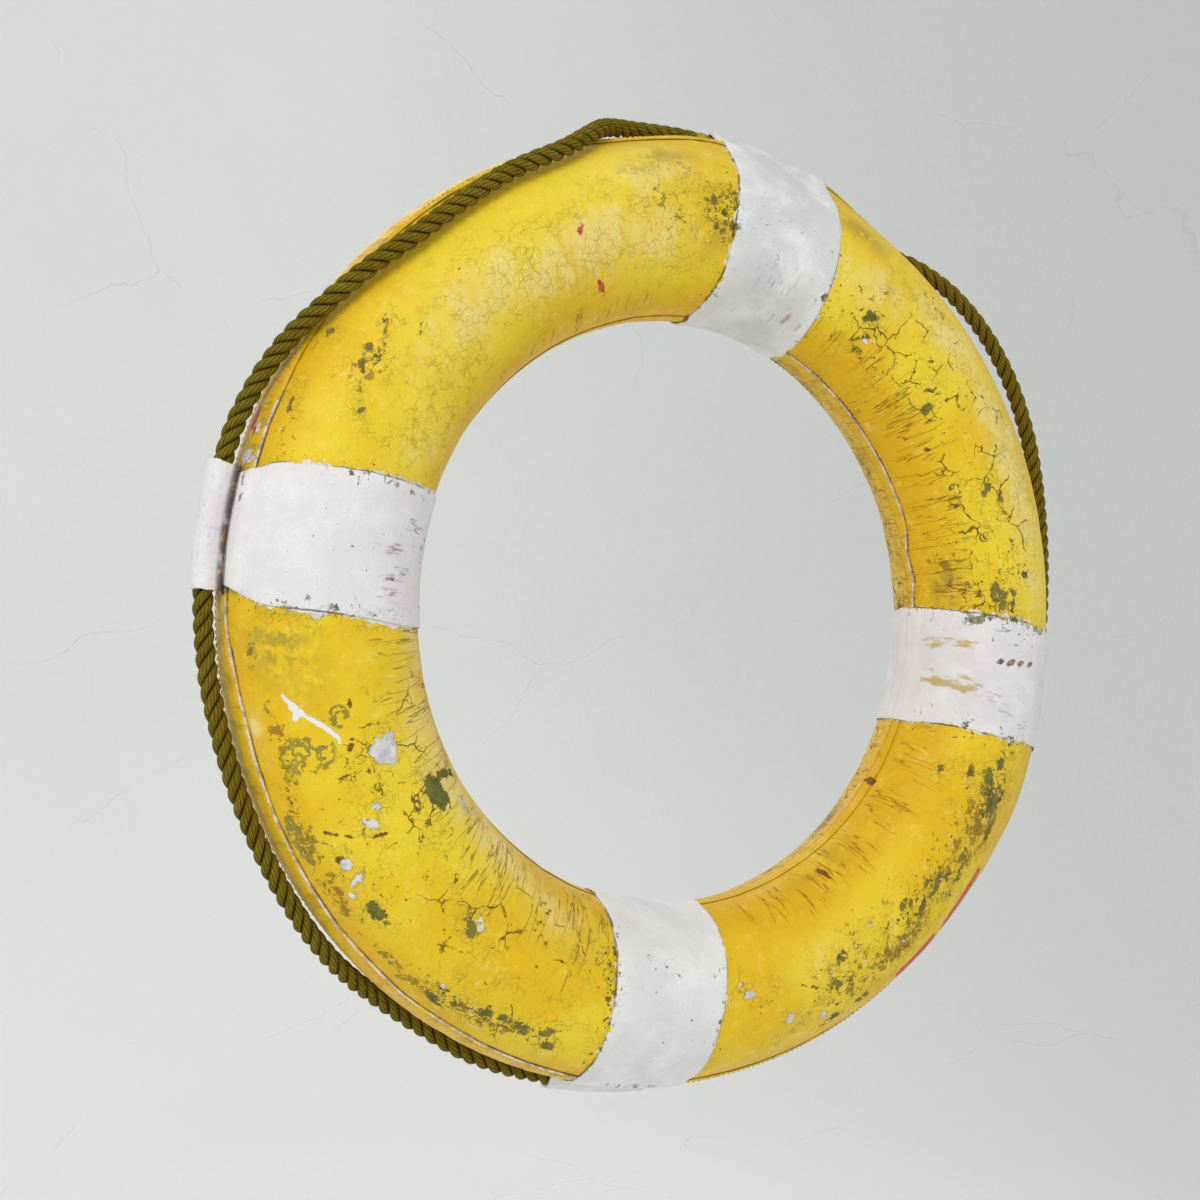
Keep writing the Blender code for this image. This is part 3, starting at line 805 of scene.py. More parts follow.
def camera():
    data = bpy.data.cameras.new("camera")
    data.lens, data.sensor_width = 48.43, 36
    data.clip_start, data.clip_end = 0.01, 60
    obj = bpy.data.objects.new("camera", data)
    bpy.context.scene.collection.objects.link(obj)
    look = Vector((0.487, 0.873, 0.022)).normalized()
    right = look.cross(Vector((-0.019, -0.015, 1.0))).normalized()
    up = right.cross(look)
    place = (-0.6638, -1.0606, -0.0194)
    rows = [(right[k], up[k], -look[k], place[k]) for k in range(3)]
    obj.matrix_world = Matrix((*rows, (0, 0, 0, 1)))
    bpy.context.scene.camera = obj


def area_light(name, place, size, power, colour):
    data = bpy.data.lights.new(name, "AREA")
    data.shape, data.size, data.energy, data.color = "DISK", size, power, colour
    obj = bpy.data.objects.new(name, data)
    obj.location = place
    obj.rotation_euler = (-Vector(place)).to_track_quat("-Z", "Y").to_euler()
    bpy.context.scene.collection.objects.link(obj)


def room():
    area_light("key", (-2.1, -2.4, 2.3), 2.2, 56, (1.0, 0.985, 0.96))
    area_light("fill", (2.4, -2.2, 0.4), 2.4, 7, (0.96, 0.98, 1.0))
    area_light("back", (0.6, 2.6, 1.9), 2.4, 22, (1.0, 1.0, 1.0))
    world = bpy.data.worlds.new("pale_room")
    world.use_nodes = True
    world.node_tree.nodes["Background"].inputs["Color"].default_value = (0.93, 0.95, 0.97, 1)
    world.node_tree.nodes["Background"].inputs["Strength"].default_value = 0.58
    bpy.context.scene.world = world
    bpy.context.scene.view_settings.view_transform = "Standard"

    floor, wall, bend, top = -1.25, 4.2, 1.4, 3.2
    profile = [(0.001 + 2.8 * i / 12, floor) for i in range(13)]
    curve = [math.radians(a) for a in range(6, 91, 6)]
    profile += [(wall - bend + bend * math.sin(a), floor + bend - bend * math.cos(a)) for a in curve]
    profile += [(wall, floor + bend + (top - floor - bend) * i / 6) for i in range(1, 7)]
    profile = np.array(profile)
    turns = np.radians(np.arange(0, 360, 3))
    reach, height = (np.broadcast_to(profile[:, k], (len(turns), len(profile))) for k in (0, 1))
    grid = np.stack([reach * np.cos(turns)[:, None], reach * np.sin(turns)[:, None], height], axis=-1)
    backdrop = mesh_piece("backdrop", grid, grid_faces(len(turns), len(profile)))
    backdrop.data.materials.append(backdrop_material())


# --- the line ------------------------------------------------------------------


def between(stations, share):
    """Tilt and distance from the cover at this share of a loop, eased through its stations."""
    last = len(stations) - 2
    index = max(i for i in range(last + 1) if stations[i][0] <= share or i == 0)
    before, start = stations[max(index - 1, 0)], stations[index]
    end, after = stations[index + 1], stations[min(index + 2, last + 1)]
    span = end[0] - start[0]
    t = (share - start[0]) / span
    values = []
    for k in (1, 2):
        slope_in = (end[k] - before[k]) / (end[0] - before[0]) * span
        slope_out = (after[k] - start[k]) / (after[0] - start[0]) * span
        places = start[k] * (2 * t**3 - 3 * t**2 + 1) + end[k] * (3 * t**2 - 2 * t**3)
        slopes = slope_in * (t**3 - 2 * t**2 + t) + slope_out * (t**3 - t**2)
        values.append(places + slopes)
    return values


def pivot_half_angle():
    """From a sleeve's middle to the point where a loop ends, one rope radius past its mouth."""
    return math.degrees((SLEEVE_LENGTH / 2 + ROPE_RADIUS + PIVOT_GAP) / ROPE_CIRCLE)


def beside_cover(tilt, distance):
    """Radius and height of the line where it lies at this tilt and distance from the cover."""
    turn = math.radians(tilt)
    radius = CENTRE_RADIUS + (SECTION_RADIAL / 2 + distance) * math.cos(turn)
    return radius, (SECTION_AXIAL / 2 + distance) * math.sin(turn)


def loop_route(start_sleeve, end_sleeve, stations, count):
    start = BAND_ANGLES[start_sleeve] + pivot_half_angle()
    end = BAND_ANGLES[end_sleeve] - pivot_half_angle()
    if end < start:
        end += 360
    points = []
    for i in range(count):
        share = i / (count - 1)
        points.append(around(start + (end - start) * share, *beside_cover(*between(stations, share))))
    return np.array(points)


def resampled(points, spacing):
    lengths = lengths_along(points)
    count = max(2, int(round(lengths[-1] / spacing)) + 1)
    even = np.linspace(0, lengths[-1], count)
    return np.stack([np.interp(even, lengths, points[:, k]) for k in range(3)], axis=-1), even


def strands(name, points, phase, spilt=None):
    """Three strands laid up right-handed round this path, as one piece."""
    path, along = resampled(points, 0.0014)
    tangent = unit(np.gradient(path, axis=0))
    outward = path * np.array([1, 0, 1])
    side = unit(outward - (outward * tangent).sum(1, keepdims=True) * tangent)
    binormal = np.cross(tangent, side)
    sides, yarns = 16, 7
    rows = len(path)
    quads = tube_faces(rows, sides)
    angles = 2 * np.pi * np.arange(sides) / sides
    around_axis = np.stack([np.cos(angles), np.sin(angles)])[:, None, :, None]
    # depth runs from 0 on the outside of each strand to 1 where it faces the rope's axis; the material paints
    # shade with it.
    depth = np.tile(0.5 - 0.5 * np.cos(angles), rows)
    verts, faces, caps, flow, uv = [], [], [], [], []
    worn = noise(path, 0.02, 5, 2)
    for strand in range(3):
        turn = 2 * np.pi * (along / LAY + strand / 3) + phase
        reach = np.cos(turn)[:, None] * side + np.sin(turn)[:, None] * binormal
        centre = path + STRAND_OFFSET * reach
        direction = unit(np.gradient(centre, axis=0))
        up = unit(reach - (reach * direction).sum(1, keepdims=True) * direction)
        cross = np.cross(direction, up)
        radius = STRAND_RADIUS * (1 + 0.035 * noise(path + 0.3 * strand, 0.03, 6 + strand, 2) + 0.015 * worn)
        circle = around_axis[0] * up[:, None] + around_axis[1] * cross[:, None]
        grid = centre[:, None] + circle * radius[:, None, None]
        i, j = np.arange(rows - 1)[:, None], np.arange(sides)[None, :]
        twist = 2.1 * yarns * along / LAY + 3.1 * strand
        u, v = yarns * j / sides, along + 0.7 * strand
        u_after = yarns * (j + 1) / sides
        corner_u = np.stack([u + twist[i], u_after + twist[i], u_after + twist[i + 1], u + twist[i + 1]],
            axis=-1)
        corner_v = np.stack([v[i] + 0 * j, v[i] + 0 * j, v[i + 1] + 0 * j, v[i + 1] + 0 * j], axis=-1)
        uv.append(np.stack([corner_u, corner_v], axis=-1).ravel())
        first = strand * rows * sides
        faces += (quads + first).tolist()
        caps += tube_ends(first, rows, sides)
        verts.append(grid.reshape(-1, 3))
        flow.append((grid + 0.05 * strand).reshape(-1, 3))
    spilt = np.full(rows, -0.02) if spilt is None else spilt
    fields = {"flow": np.concatenate(flow), "depth": np.tile(depth, 3),
        "spilt": np.tile(np.repeat(spilt, sides), 3)}
    piece = mesh_piece(name, np.concatenate(verts), faces + caps, fields, sharp=60)
    uv.append(np.zeros(4 * 3 * sides))  # the end faces
    piece.data.uv_layers.new(name="yarn").data.foreach_set("uv", np.concatenate(uv).astype(np.float32))
    return piece


def rope_arc(sleeve, start, end, count=24):
    """The line's own path inside a sleeve, between two ring angles."""
    return around(np.linspace(start, end, count), *beside_cover(SLEEVE_TILTS[sleeve], ROPE_STAND_OFF))


def line():
    """Four loops from sleeve to sleeve, and four short stretches that the sleeves hold."""
    material = rope_material()
    half, tuck = pivot_half_angle(), math.degrees(TUCKED / ROPE_CIRCLE)
    mouth = math.degrees(SLEEVE_LENGTH / 2 / ROPE_CIRCLE)
    for name, (start_sleeve, end_sleeve, stations) in LOOPS.items():
        route = loop_route(start_sleeve, end_sleeve, stations, 129)
        first, last = BAND_ANGLES[start_sleeve], BAND_ANGLES[end_sleeve]
        before = rope_arc(start_sleeve, first + mouth - tuck, first + half, 12)[:-1]
        after = rope_arc(end_sleeve, last - half, last - mouth + tuck, 12)[1:]
        points = np.concatenate([before, route, after])
        along = resampled(points, 0.0014)[1]
        spilt = np.full(len(along), -0.02)
        if name == "upper_left":
            spilt = np.maximum(0.0070 - np.abs(along - 0.0270), spilt)
        piece = strands(f"line_{name}", points, 0.7 * len(name), spilt)
        piece.data.materials.append(material)
        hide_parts(f"grab_line_{name}")
        [float(x) for x in rope_arc(start_sleeve, first + mouth, first + mouth, 1)[0]]
        pivots = route[0], route[-1]
        chord = unit(pivots[1] - pivots[0])
        middle = (pivots[0] + pivots[1]) / 2
        out = route[len(route) // 2] - middle
        out = unit(out - (out @ chord) * chord)
        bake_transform(piece)
    for index, (name, middle) in enumerate(BAND_ANGLES.items()):
        reach = mouth - tuck - 0.05
        piece = strands(f"line_held_{name}", rope_arc(name, middle - reach, middle + reach), 1.3 * index)
        piece.data.materials.append(material)
        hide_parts(f"line_in_sleeve_{name}")
        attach(piece, "ring")


# --- wear and dirt, placed by ring and section angle ---------------------------

# ring angle, section angle, half length along the ring and half width across it in mm, turn in degrees
OLIVE_CHIPS = [
    (209, 119, 13, 9, 20), (208, 137, 9, 2.5, 70), (204, 86, 4, 2, 40), (212, 105, 4, 2, 10),
    (226.5, 86.5, 10, 4, -35), (217.5, 49.5, 8, 5, 10), (231, 36, 7, 3, 0), (234, 44, 6, 3, 20),
    (236, 50, 8, 3.5, 10), (239, 52, 7, 3, -10), (241.5, 52, 6, 4, 0), (244.5, 56, 6, 4, 15),
    (246, 47, 5, 3, 0), (60, 110, 6, 3.5, 20), (58.3, 122, 4, 2, 0), (57, 134, 7, 2, -20),
    (40, 121, 4, 3.5, 40), (42, 110, 3, 2, 60), (22.8, 104, 9, 2.6, -35), (19, 99, 8, 2.2, -30),
    (16.9, 94.6, 3, 3, 0), (4.2, 112, 8, 4, 10), (2.6, 106, 9, 3, -25), (2.0, 98, 8, 3, 0), (7, 84, 4, 3, 0),
    (11.5, 92, 3.5, 2.5, 0), (88.6, 77, 3.5, 4, 0), (88.2, 84, 3, 6, 0), (88.8, 94, 3, 7, 0),
    (92.5, 80, 3, 2, 0), (329.5, 79, 9, 6, 15), (333, 92, 8, 4, 30), (336, 86, 6, 3, 10), (326, 70, 9, 3, 0),
    (332, 108, 5, 3, 0), (320, 82, 6, 3, 10), (314, 88, 7, 3.5, 25), (309, 84, 7, 3, 10),
    (151, 62, 4, 1.5, 20), (148.5, 66, 3.5, 1.3, 10), (143, 78, 3, 1.2, 0), (156, 72, 2.5, 1.2, 0),
    (181.0, 112, 2.5, 16, 4), (145.2, 60.3, 3.5, 1.3, 20), (148.3, 59.3, 3.5, 1.2, -20),
    (148.5, 31.3, 3, 1.8, 0), (158, 30.5, 3, 1.4, 10), (292, 95, 5, 3, 20), (289, 52, 9, 3, 0),
    (295, 54, 8, 2.4, 0), (330, 128.5, 3, 1.6, 0), (307, 96, 4, 3, 30),
]
PRIMER_CHIPS = [
    (199.9, 96.4, 10, 9, 15), (198.2, 101, 4, 4, 0), (206.1, 80.7, 3.5, 3.5, 0), (207.4, 73.5, 5, 3, 20),
    (211.0, 50, 5, 4.5, 0), (213.3, 51, 9, 3.0, -50), (213.4, 137, 6, 2.4, 20), (215.8, 139, 3, 2, 0),
    (227.1, 91, 6, 2.4, -30), (281.7, 70.5, 4, 3.5, 40), (283.5, 64, 7, 2.4, 30), (287.5, 61, 4, 3, 0),
    (273.6, 103, 3.5, 3, 0), (275.0, 96, 5, 2, 0), (300.0, 103, 1.6, 1.6, 0), (181.5, 70, 3, 3, 0),
    (180.9, 78, 2, 4, 0), (164.2, 8, 5, 10, 0), (161.0, 11, 5, 4, 30), (57.2, 125, 2, 1.5, 0),
    (24.0, 128, 3, 2, 0),
]
RED_MARKS = [
    (115.2, 88.4, 3.5, 1.6, 40), (113.9, 126, 1.4, 6, 8), (113.2, 131, 1.2, 5, 8), (323, 172, 5, 2, 0),
    (159.8, 2, 10, 4, 0), (161.5, 8, 5, 3, 0), (164.5, 10, 4, 3, 0), (167.0, 14, 4, 1.6, 0),
    (168.8, 16, 3, 2, 0),
]
RED_STRIPS = [((320.5, 50.0), (312.5, 46.5), 6.5), ((308.8, 47.5), (302.5, 45.5), 6.5)]
BROWN_MARKS = [
    (210.0, 48.7, 3, 4, 0), (209.2, 74, 7, 1.3, 70), (192.4, 84, 2.5, 1.2, 0), (197.8, 79, 1.6, 3, 30),
    (201.5, 84, 1.6, 3, 60), (352.1, 106, 2.0, 3.6, 35), (352.2, 98, 2.0, 3.6, 35), (352.3, 89, 2.0, 3.6, 35),
    (352.4, 80, 2.0, 3.8, 35), (165.9, 3, 5, 4, 20), (178.6, 5, 4, 4, 0), (323, 175, 3, 6, 0),
    (299.2, 151, 2.2, 7, 10), (24.5, 129, 2, 3, 30), (33, 134, 3, 1.6, 50), (176.5, 112, 1.2, 5, 5),
]
# ring angle, section angle of each end, then half width in mm
SCRAPE = [
    ((190.1, 47.0), (191.6, 52.4), 1.3), ((191.6, 52.4), (192.4, 55.5), 3.0),
    ((192.4, 55.5), (193.0, 52.5), 2.0), ((192.5, 56.5), (194.2, 66.0), 1.7),
    ((194.2, 66.0), (195.8, 73.0), 1.6), ((195.8, 73.0), (196.8, 73.6), 1.4),
]
BROWN_LINES = [
    ((197.4, 75.0), (196.9, 81.0), 0.9), ((206.4, 47.5), (208.0, 61.0), 0.9),
    ((201.0, 67.5), (200.8, 80.0), 0.6), ((207.0, 40.2), (208.2, 48.0), 0.7),
    ((288.5, 80.0), (284.5, 92.0), 0.8),
]
# ring angle, section angle, reach along the ring and across it in mm, strength
PALE_AREAS = [
    (203, 132, 60, 22, 1.0), (222, 140, 55, 20, 1.0), (186, 142, 30, 20, 0.7), (238, 126, 34, 20, 0.6),
    (22, 76, 110, 20, 1.0), (42, 72, 70, 20, 0.9), (62, 92, 40, 24, 0.7), (112, 100, 80, 26, 0.80),
    (135, 95, 70, 26, 0.75), (103, 60, 60, 24, 0.6), (155, 120, 40, 26, 0.4), (290, 100, 40, 22, 0.3),
    (193, 24, 10, 8, 0.9),
]
SHADE_AREAS = [
    (184.0, 48, 26, 20, 1.3), (188, 62, 22, 12, 0.6), (98.5, 46, 26, 7, 0.9), (104, 58, 26, 6, 0.6),
    (6.3, 148, 20, 14, 1.0), (92, 90, 12, 26, 0.9), (66, 58, 30, 10, 1.0), (322, 76, 60, 10, 0.8),
    (307, 66, 50, 12, 0.7), (300, 158, 26, 10, 0.5),
]
GRIME_AREAS = [
    (196, 40, 34, 9, 1.0), (206, 32, 34, 10, 1.0), (214, 34, 30, 10, 1.0), (226, 36, 40, 8, 0.9),
    (240, 44, 40, 12, 0.7), (186, 30, 20, 9, 0.9), (99, 80, 34, 40, 0.55), (150, 66, 30, 16, 0.6),
    (325, 84, 60, 26, 0.9), (300, 74, 70, 18, 0.8), (300, 100, 70, 26, 0.45), (10, 140, 40, 26, 0.6),
    (50, 66, 50, 12, 0.6), (162, 34, 16, 10, 0.8),
]
STAIN_AREAS = [
    (197.3, 55, 15, 20, 1.0), (193.8, 77, 9, 8, 1.0), (206, 27, 26, 8, 0.9),
]
CHIPPING_AREAS = [
    (234, 44, 60, 10, 0.95), (244, 52, 26, 12, 0.95), (212, 60, 80, 26, 0.42), (203, 36, 70, 9, 0.62),
    (200, 78, 26, 14, 0.5), (40, 112, 120, 22, 0.40), (48, 132, 40, 14, 0.62), (8, 100, 26, 26, 0.62),
    (60, 112, 22, 20, 0.62), (92, 84, 16, 30, 0.85), (99, 56, 26, 10, 0.55), (330, 82, 34, 20, 1.15),
    (318, 76, 44, 12, 0.90), (303, 74, 60, 10, 0.90), (310, 90, 80, 24, 0.80), (292, 80, 50, 30, 0.75),
    (288, 84, 34, 12, 0.55), (150, 66, 30, 12, 0.62), (133, 72, 30, 12, 0.45), (277, 86, 12, 20, 0.55),
    (252, 95, 10, 30, 0.60), (248, 112, 22, 14, 0.55),
]
CELLED_AREAS = [
    (52, 112, 70, 24, 1.0), (22, 104, 90, 28, 1.0), (36, 86, 60, 24, 0.7), (8, 118, 40, 30, 0.9),
    (205, 100, 80, 34, 0.7), (225, 92, 60, 30, 0.8), (240, 110, 40, 30, 0.9), (238, 56, 40, 20, 0.8),
    (318, 90, 60, 30, 0.4), (155, 110, 50, 34, 0.35),
]
RADIAL_AREAS = [
    (40, 140, 90, 24, 1.0), (12, 142, 50, 26, 1.0), (200, 134, 90, 28, 1.0), (225, 128, 70, 32, 1.0),
    (186, 134, 40, 30, 0.9), (245, 128, 40, 30, 1.0), (118, 152, 110, 14, 0.5), (300, 150, 90, 22, 0.55),
    (326, 150, 50, 26, 0.60),
]
CRAZING_AREAS = [
    (100, 92, 60, 44, 1.0), (125, 100, 80, 40, 1.0), (150, 108, 60, 40, 0.95), (20, 74, 80, 20, 0.85),
    (50, 78, 60, 24, 0.85), (300, 84, 80, 26, 0.85), (328, 84, 50, 30, 1.0), (215, 96, 80, 34, 0.45),
    (240, 60, 60, 26, 0.9), (245, 112, 30, 34, 0.7),
]
SCUFF_AREAS = [
    (167.8, 132, 6, 12, 1.0), (171.8, 118, 5, 20, 1.0), (175.5, 124, 6, 18, 0.9), (178.5, 118, 6, 22, 0.6),
    (170.5, 146, 10, 9, 0.8), (346, 100, 16, 30, 0.35), (343, 84, 10, 30, 0.45), (261, 22, 24, 5, 1.0),
    (79, 120, 26, 26, 0.40), (73, 146, 24, 10, 0.6),
]
SPECKLED_AREAS = [
    (79, 100, 30, 44, 0.9), (84, 78, 12, 22, 1.0), (72, 96, 10, 14, 1.2), (172, 100, 40, 50, 0.45),
    (261, 118, 30, 12, 1.0), (261, 90, 30, 60, 0.40), (349, 84, 30, 50, 0.40), (356, 92, 10, 40, 1.1),
]
OCHRE_AREAS = [(354.4, 142, 7, 24, 1.05), (346.8, 140, 7, 24, 1.05), (351, 156, 20, 9, 0.7),
    (265, 156, 14, 5, 0.3)]
TORN_AREAS = [
    (164, 128, 8, 46, 0.55), (181, 84, 8, 70, 0.40), (358.5, 100, 12, 60, 1.0), (340.5, 84, 8, 60, 0.45),
    (90, 84, 7, 60, 0.35), (252, 92, 7, 60, 0.40), (270, 80, 7, 60, 0.35), (68.5, 112, 8, 60, 0.35),
]
SPLASH_AREAS = [
    (163, 132, 12, 34, 1.0), (163, 70, 8, 30, 0.6), (182.5, 52, 12, 26, 1.0), (182.5, 112, 8, 34, 0.8),
    (272.5, 74, 12, 20, 0.9), (67.5, 100, 8, 50, 0.5), (359.5, 96, 10, 40, 0.8), (338.8, 84, 8, 40, 0.6),
]


def across_from(ring, section, radius, middle, level):
    """Metres along the ring and across it from a place on the cover."""
    return rad(turned(ring, middle)) * radius, turned(section, level) * SECTION_ARC


def spots(ring, section, radius, marks):
    """How far inside the nearest mark a point is, in metres."""
    best = np.full(ring.shape, -0.02)
    for middle, level, long, wide, turn in marks:
        u, v = across_from(ring, section, radius, middle, level)
        c, s = math.cos(math.radians(turn)), math.sin(math.radians(turn))
        u, v = (u * c + v * s) / (long / 1000), (v * c - u * s) / (wide / 1000)
        best = np.maximum(best, (1 - np.hypot(u, v)) * min(long, wide) / 1000)
    return best


def strokes(ring, section, radius, lines):
    best = np.full(ring.shape, -0.02)
    for start, end, wide in lines:
        u, v = across_from(ring, section, radius, *start)
        du = math.radians(end[0] - start[0]) * 0.34
        dv = (end[1] - start[1]) * SECTION_ARC
        t = np.clip((u * du + v * dv) / (du * du + dv * dv), 0, 1)
        best = np.maximum(best, wide / 1000 - np.hypot(u - t * du, v - t * dv))
    return best


def areas(ring, section, radius, places):
    best = np.zeros(ring.shape)
    for middle, level, long, wide, strength in places:
        u, v = across_from(ring, section, radius, middle, level)
        best = np.maximum(best, strength * np.exp(-((u * 1000 / long) ** 2) - (v * 1000 / wide) ** 2))
    return best


def beside_sleeves(ring, level):
    """Where the painted shade goes: the dark line where a sleeve's front edge meets its band."""
    half = math.degrees(SLEEVE_LENGTH / 2 / ROPE_CIRCLE)
    made = np.zeros(ring.shape)
    for name, middle in BAND_ANGLES.items():
        beside = np.exp(-(((level - SLEEVE_TILTS[name] - 8.6) / 1.5) ** 2))
        made = np.maximum(made, beside * step(half + 0.6, half - 0.2, np.abs(turned(ring, middle))))
    return made


def paint_fields(ring, section):
    """Everything that the paint's material reads, at these places on the cover."""
    ring, section = np.broadcast_arrays(ring, section)
    radius, height = plain_section(section)
    here = ring, section, radius
    place = around(ring, radius, height)
    level = turned(section, 0)
    front = np.sin(rad(section))
    slow = noise(place, 0.09, 71, 3)
    slow_2 = noise(place, 0.06, 72, 3)
    behind = step(0.15, -0.35, front)  # the side that faces the wall
    rim = np.cos(rad(section))
    amber = 0.85 * step(0.62, 0.95, rim) + 0.95 * step(-0.50, -0.93, rim)
    amber = amber + 0.6 * bump(ring, 310, 40) * (1 - np.abs(front)) + 0.25 * bump(ring, 305, 40)
    amber = np.clip(amber + 0.22 * slow, 0, 1)
    front_edge, back_edge = tape_edges(ring)
    inner_front, inner_back = inner_tape_edges(ring)
    painted_over = 40 * step(44, 50, np.abs(turned(ring, 36)))  # the inner tape only shows on the right
    outer_seam = np.minimum(*(np.abs(turned(section, edge)) for edge in (front_edge, back_edge)))
    inner_seam = np.minimum(*(np.abs(turned(section, edge)) for edge in (inner_front, inner_back)))
    seam = np.minimum(outer_seam, inner_seam + painted_over) * SECTION_ARC
    flow = [CENTRE_RADIUS * np.cos(rad(ring)), CENTRE_RADIUS * np.sin(rad(ring)), level * SECTION_ARC]
    drab = 0.85 * bump(ring, 79, 14) + 0.45 * bump(ring, 261, 14) + 0.35 * bump(ring, 349, 14)
    in_band = inside_band(ring, section, radius)
    near_band = np.exp(-(((in_band + 0.004) / 0.010) ** 2))

    def worn(places, more=0.0):
        return np.clip(areas(*here, places) + more, 0, 1)

    return {
        "flow": np.stack(flow, axis=-1),
        "white": in_band,
        "seam": seam,
        "amber": amber,
        "pale": worn(PALE_AREAS, behind * step(0.1, 0.9, slow)),
        "shade": worn(SHADE_AREAS, behind * step(0.3, 0.9, slow_2) * 0.8),
        "chipping": worn(CHIPPING_AREAS, behind * step(0.1, 0.8, slow_2) * 0.8 + 0.45 * near_band),
        "celled": worn(CELLED_AREAS, behind * 0.6),
        "radial": worn(RADIAL_AREAS, behind * step(-0.4, -0.9, rim) * 0.8),
        "crazing": worn(CRAZING_AREAS, behind * step(-0.2, 0.5, slow) * 0.7),
        "green": spots(*here, OLIVE_CHIPS),
        "stain": areas(*here, STAIN_AREAS),
        "primer": spots(*here, PRIMER_CHIPS),
        "scrape": strokes(*here, SCRAPE),
        "red": np.maximum(spots(*here, RED_MARKS), strokes(*here, RED_STRIPS)),
        "brown": np.maximum(spots(*here, BROWN_MARKS), strokes(*here, BROWN_LINES)),
        "pink": np.clip(0.75 * bump(ring, 172, 14) + 0.95 * bump(ring, 349, 14) + 0.1, 0, 1),
        "drab": np.clip(drab + 0.12, 0, 1),
        "grime": worn(GRIME_AREAS, behind * step(-0.2, 0.8, slow_2) * 0.6),
        "scuffed": areas(*here, SCUFF_AREAS),
        "speckled": areas(*here, SPECKLED_AREAS),
        "ochre": areas(*here, OCHRE_AREAS),
        "torn": worn(TORN_AREAS, 0.15),
        "splash": worn(SPLASH_AREAS, 0.15),
        "crease_shade": beside_sleeves(ring, level),
    }


def joined_fields(*parts):
    return {
        key: np.concatenate([p[key].reshape(-1, 3) if key == "flow" else p[key].ravel() for p in parts])
        for key in parts[0]
    }


# --- canvas --------------------------------------------------------------------


def own(piece, material, node):
    piece.data.materials.append(material)
    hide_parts(node)
    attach(piece, "ring")
    return piece


def covers(material):
    """The two halves of the canvas cover, sewn along the rims under the tapes."""
    rings = np.arange(RING_STEPS) * 360 / RING_STEPS
    for name, low, high in (("front", 0.6, 179.4), ("back", -179.4, -0.6)):
        sections = np.linspace(low, high, FACE_STEPS)
        few = np.linspace(low, high, LINING_STEPS)
        outer = surface(rings[:, None], sections[None, :])
        inner = surface(rings[:, None], few[None, :], -CANVAS)
        points, faces = ring_sheet(outer, inner)
        fields = joined_fields(paint_fields(rings[:, None], sections[None, :]),
            paint_fields(rings[:, None], few[None, :]))
        piece = facing_out(mesh_piece(f"canvas_{name}", points, faces, fields))
        own(piece, material, f"cover_{name}")


def tapes(material):
    """The tapes sewn over both seams, with a raised, worn fold along each edge."""
    rings = np.arange(RING_STEPS) * 360 / RING_STEPS
    shares = np.concatenate([[0, 0.004, 0.03], np.linspace(0.08, 0.92, 15), [0.97, 0.996, 1]])
    for name, edges, node in (
        ("outer", tape_edges, "outer_seam_tape"),
        ("inner", inner_tape_edges, "inner_seam_tape"),
    ):
        front, back = edges(rings)
        sections = back[:, None] + (front - back)[:, None] * shares[None, :]
        width = np.abs(front - back)[:, None] * SECTION_ARC
        from_edge = np.minimum(shares, 1 - shares)[None, :] * width
        place = around(rings[:, None], *plain_section(sections))
        fold = 0.00045 * np.exp(-(((from_edge - 0.0035) / 0.0016) ** 2))
        fold = fold * (1 + 0.6 * noise(place, 0.02, 81, 2))
        pucker = 0.00022 * noise(place * np.array([1, 0.4, 1]), 0.006, 82, 2)
        rounded = -0.0005 * np.exp(-((from_edge / 0.0005) ** 2))
        hidden = step(44, 50, np.abs(turned(rings, 36)))[:, None] * (name == "inner")
        sound = step(50, 56, np.abs(turned(rings, 208)))[:, None] * (name == "outer")
        thinned = 1 - hidden * (1 - step(0, 0.009, from_edge))
        thickness = 0.0003 + thinned * (CLOTH - 0.0003 + fold + pucker + rounded)
        outer = surface(rings[:, None], sections, LIFT + thickness)
        inner_shares = np.array([0, 0.03, 0.5, 0.97, 1])
        inner_sections = back[:, None] + (front - back)[:, None] * inner_shares[None, :]
        inner = surface(rings[:, None], inner_sections, LIFT)
        points, faces = ring_sheet(outer, inner)
        fields = joined_fields(paint_fields(rings[:, None], sections),
            paint_fields(rings[:, None], inner_sections))
        from_edge = from_edge + 0.023 * sound + 0.060 * hidden
        fields["seam"] = np.concatenate([from_edge.ravel(), np.zeros(inner_sections.size)])
        piece = facing_out(mesh_piece(f"tape_{name}", points, faces, fields))
        own(piece, material, node)


def over_tapes(section):
    """How much higher a band lies where the seam tapes pass under it."""
    outer = step(OUTER_TAPE_HALF_ANGLE + 5, OUTER_TAPE_HALF_ANGLE - 2, np.abs(turned(section, 0)))
    inner = step(INNER_TAPE_HALF_ANGLE + 4, INNER_TAPE_HALF_ANGLE - 3, np.abs(turned(section, 180)))
    return (CLOTH + LIFT) * np.maximum(outer, inner)


def band_angle(middle, across, section):
    """The ring angle of a point this far across from a band's middle plane."""
    radius = plain_section(section)[0]
    return middle + np.degrees(np.arcsin(across / radius))


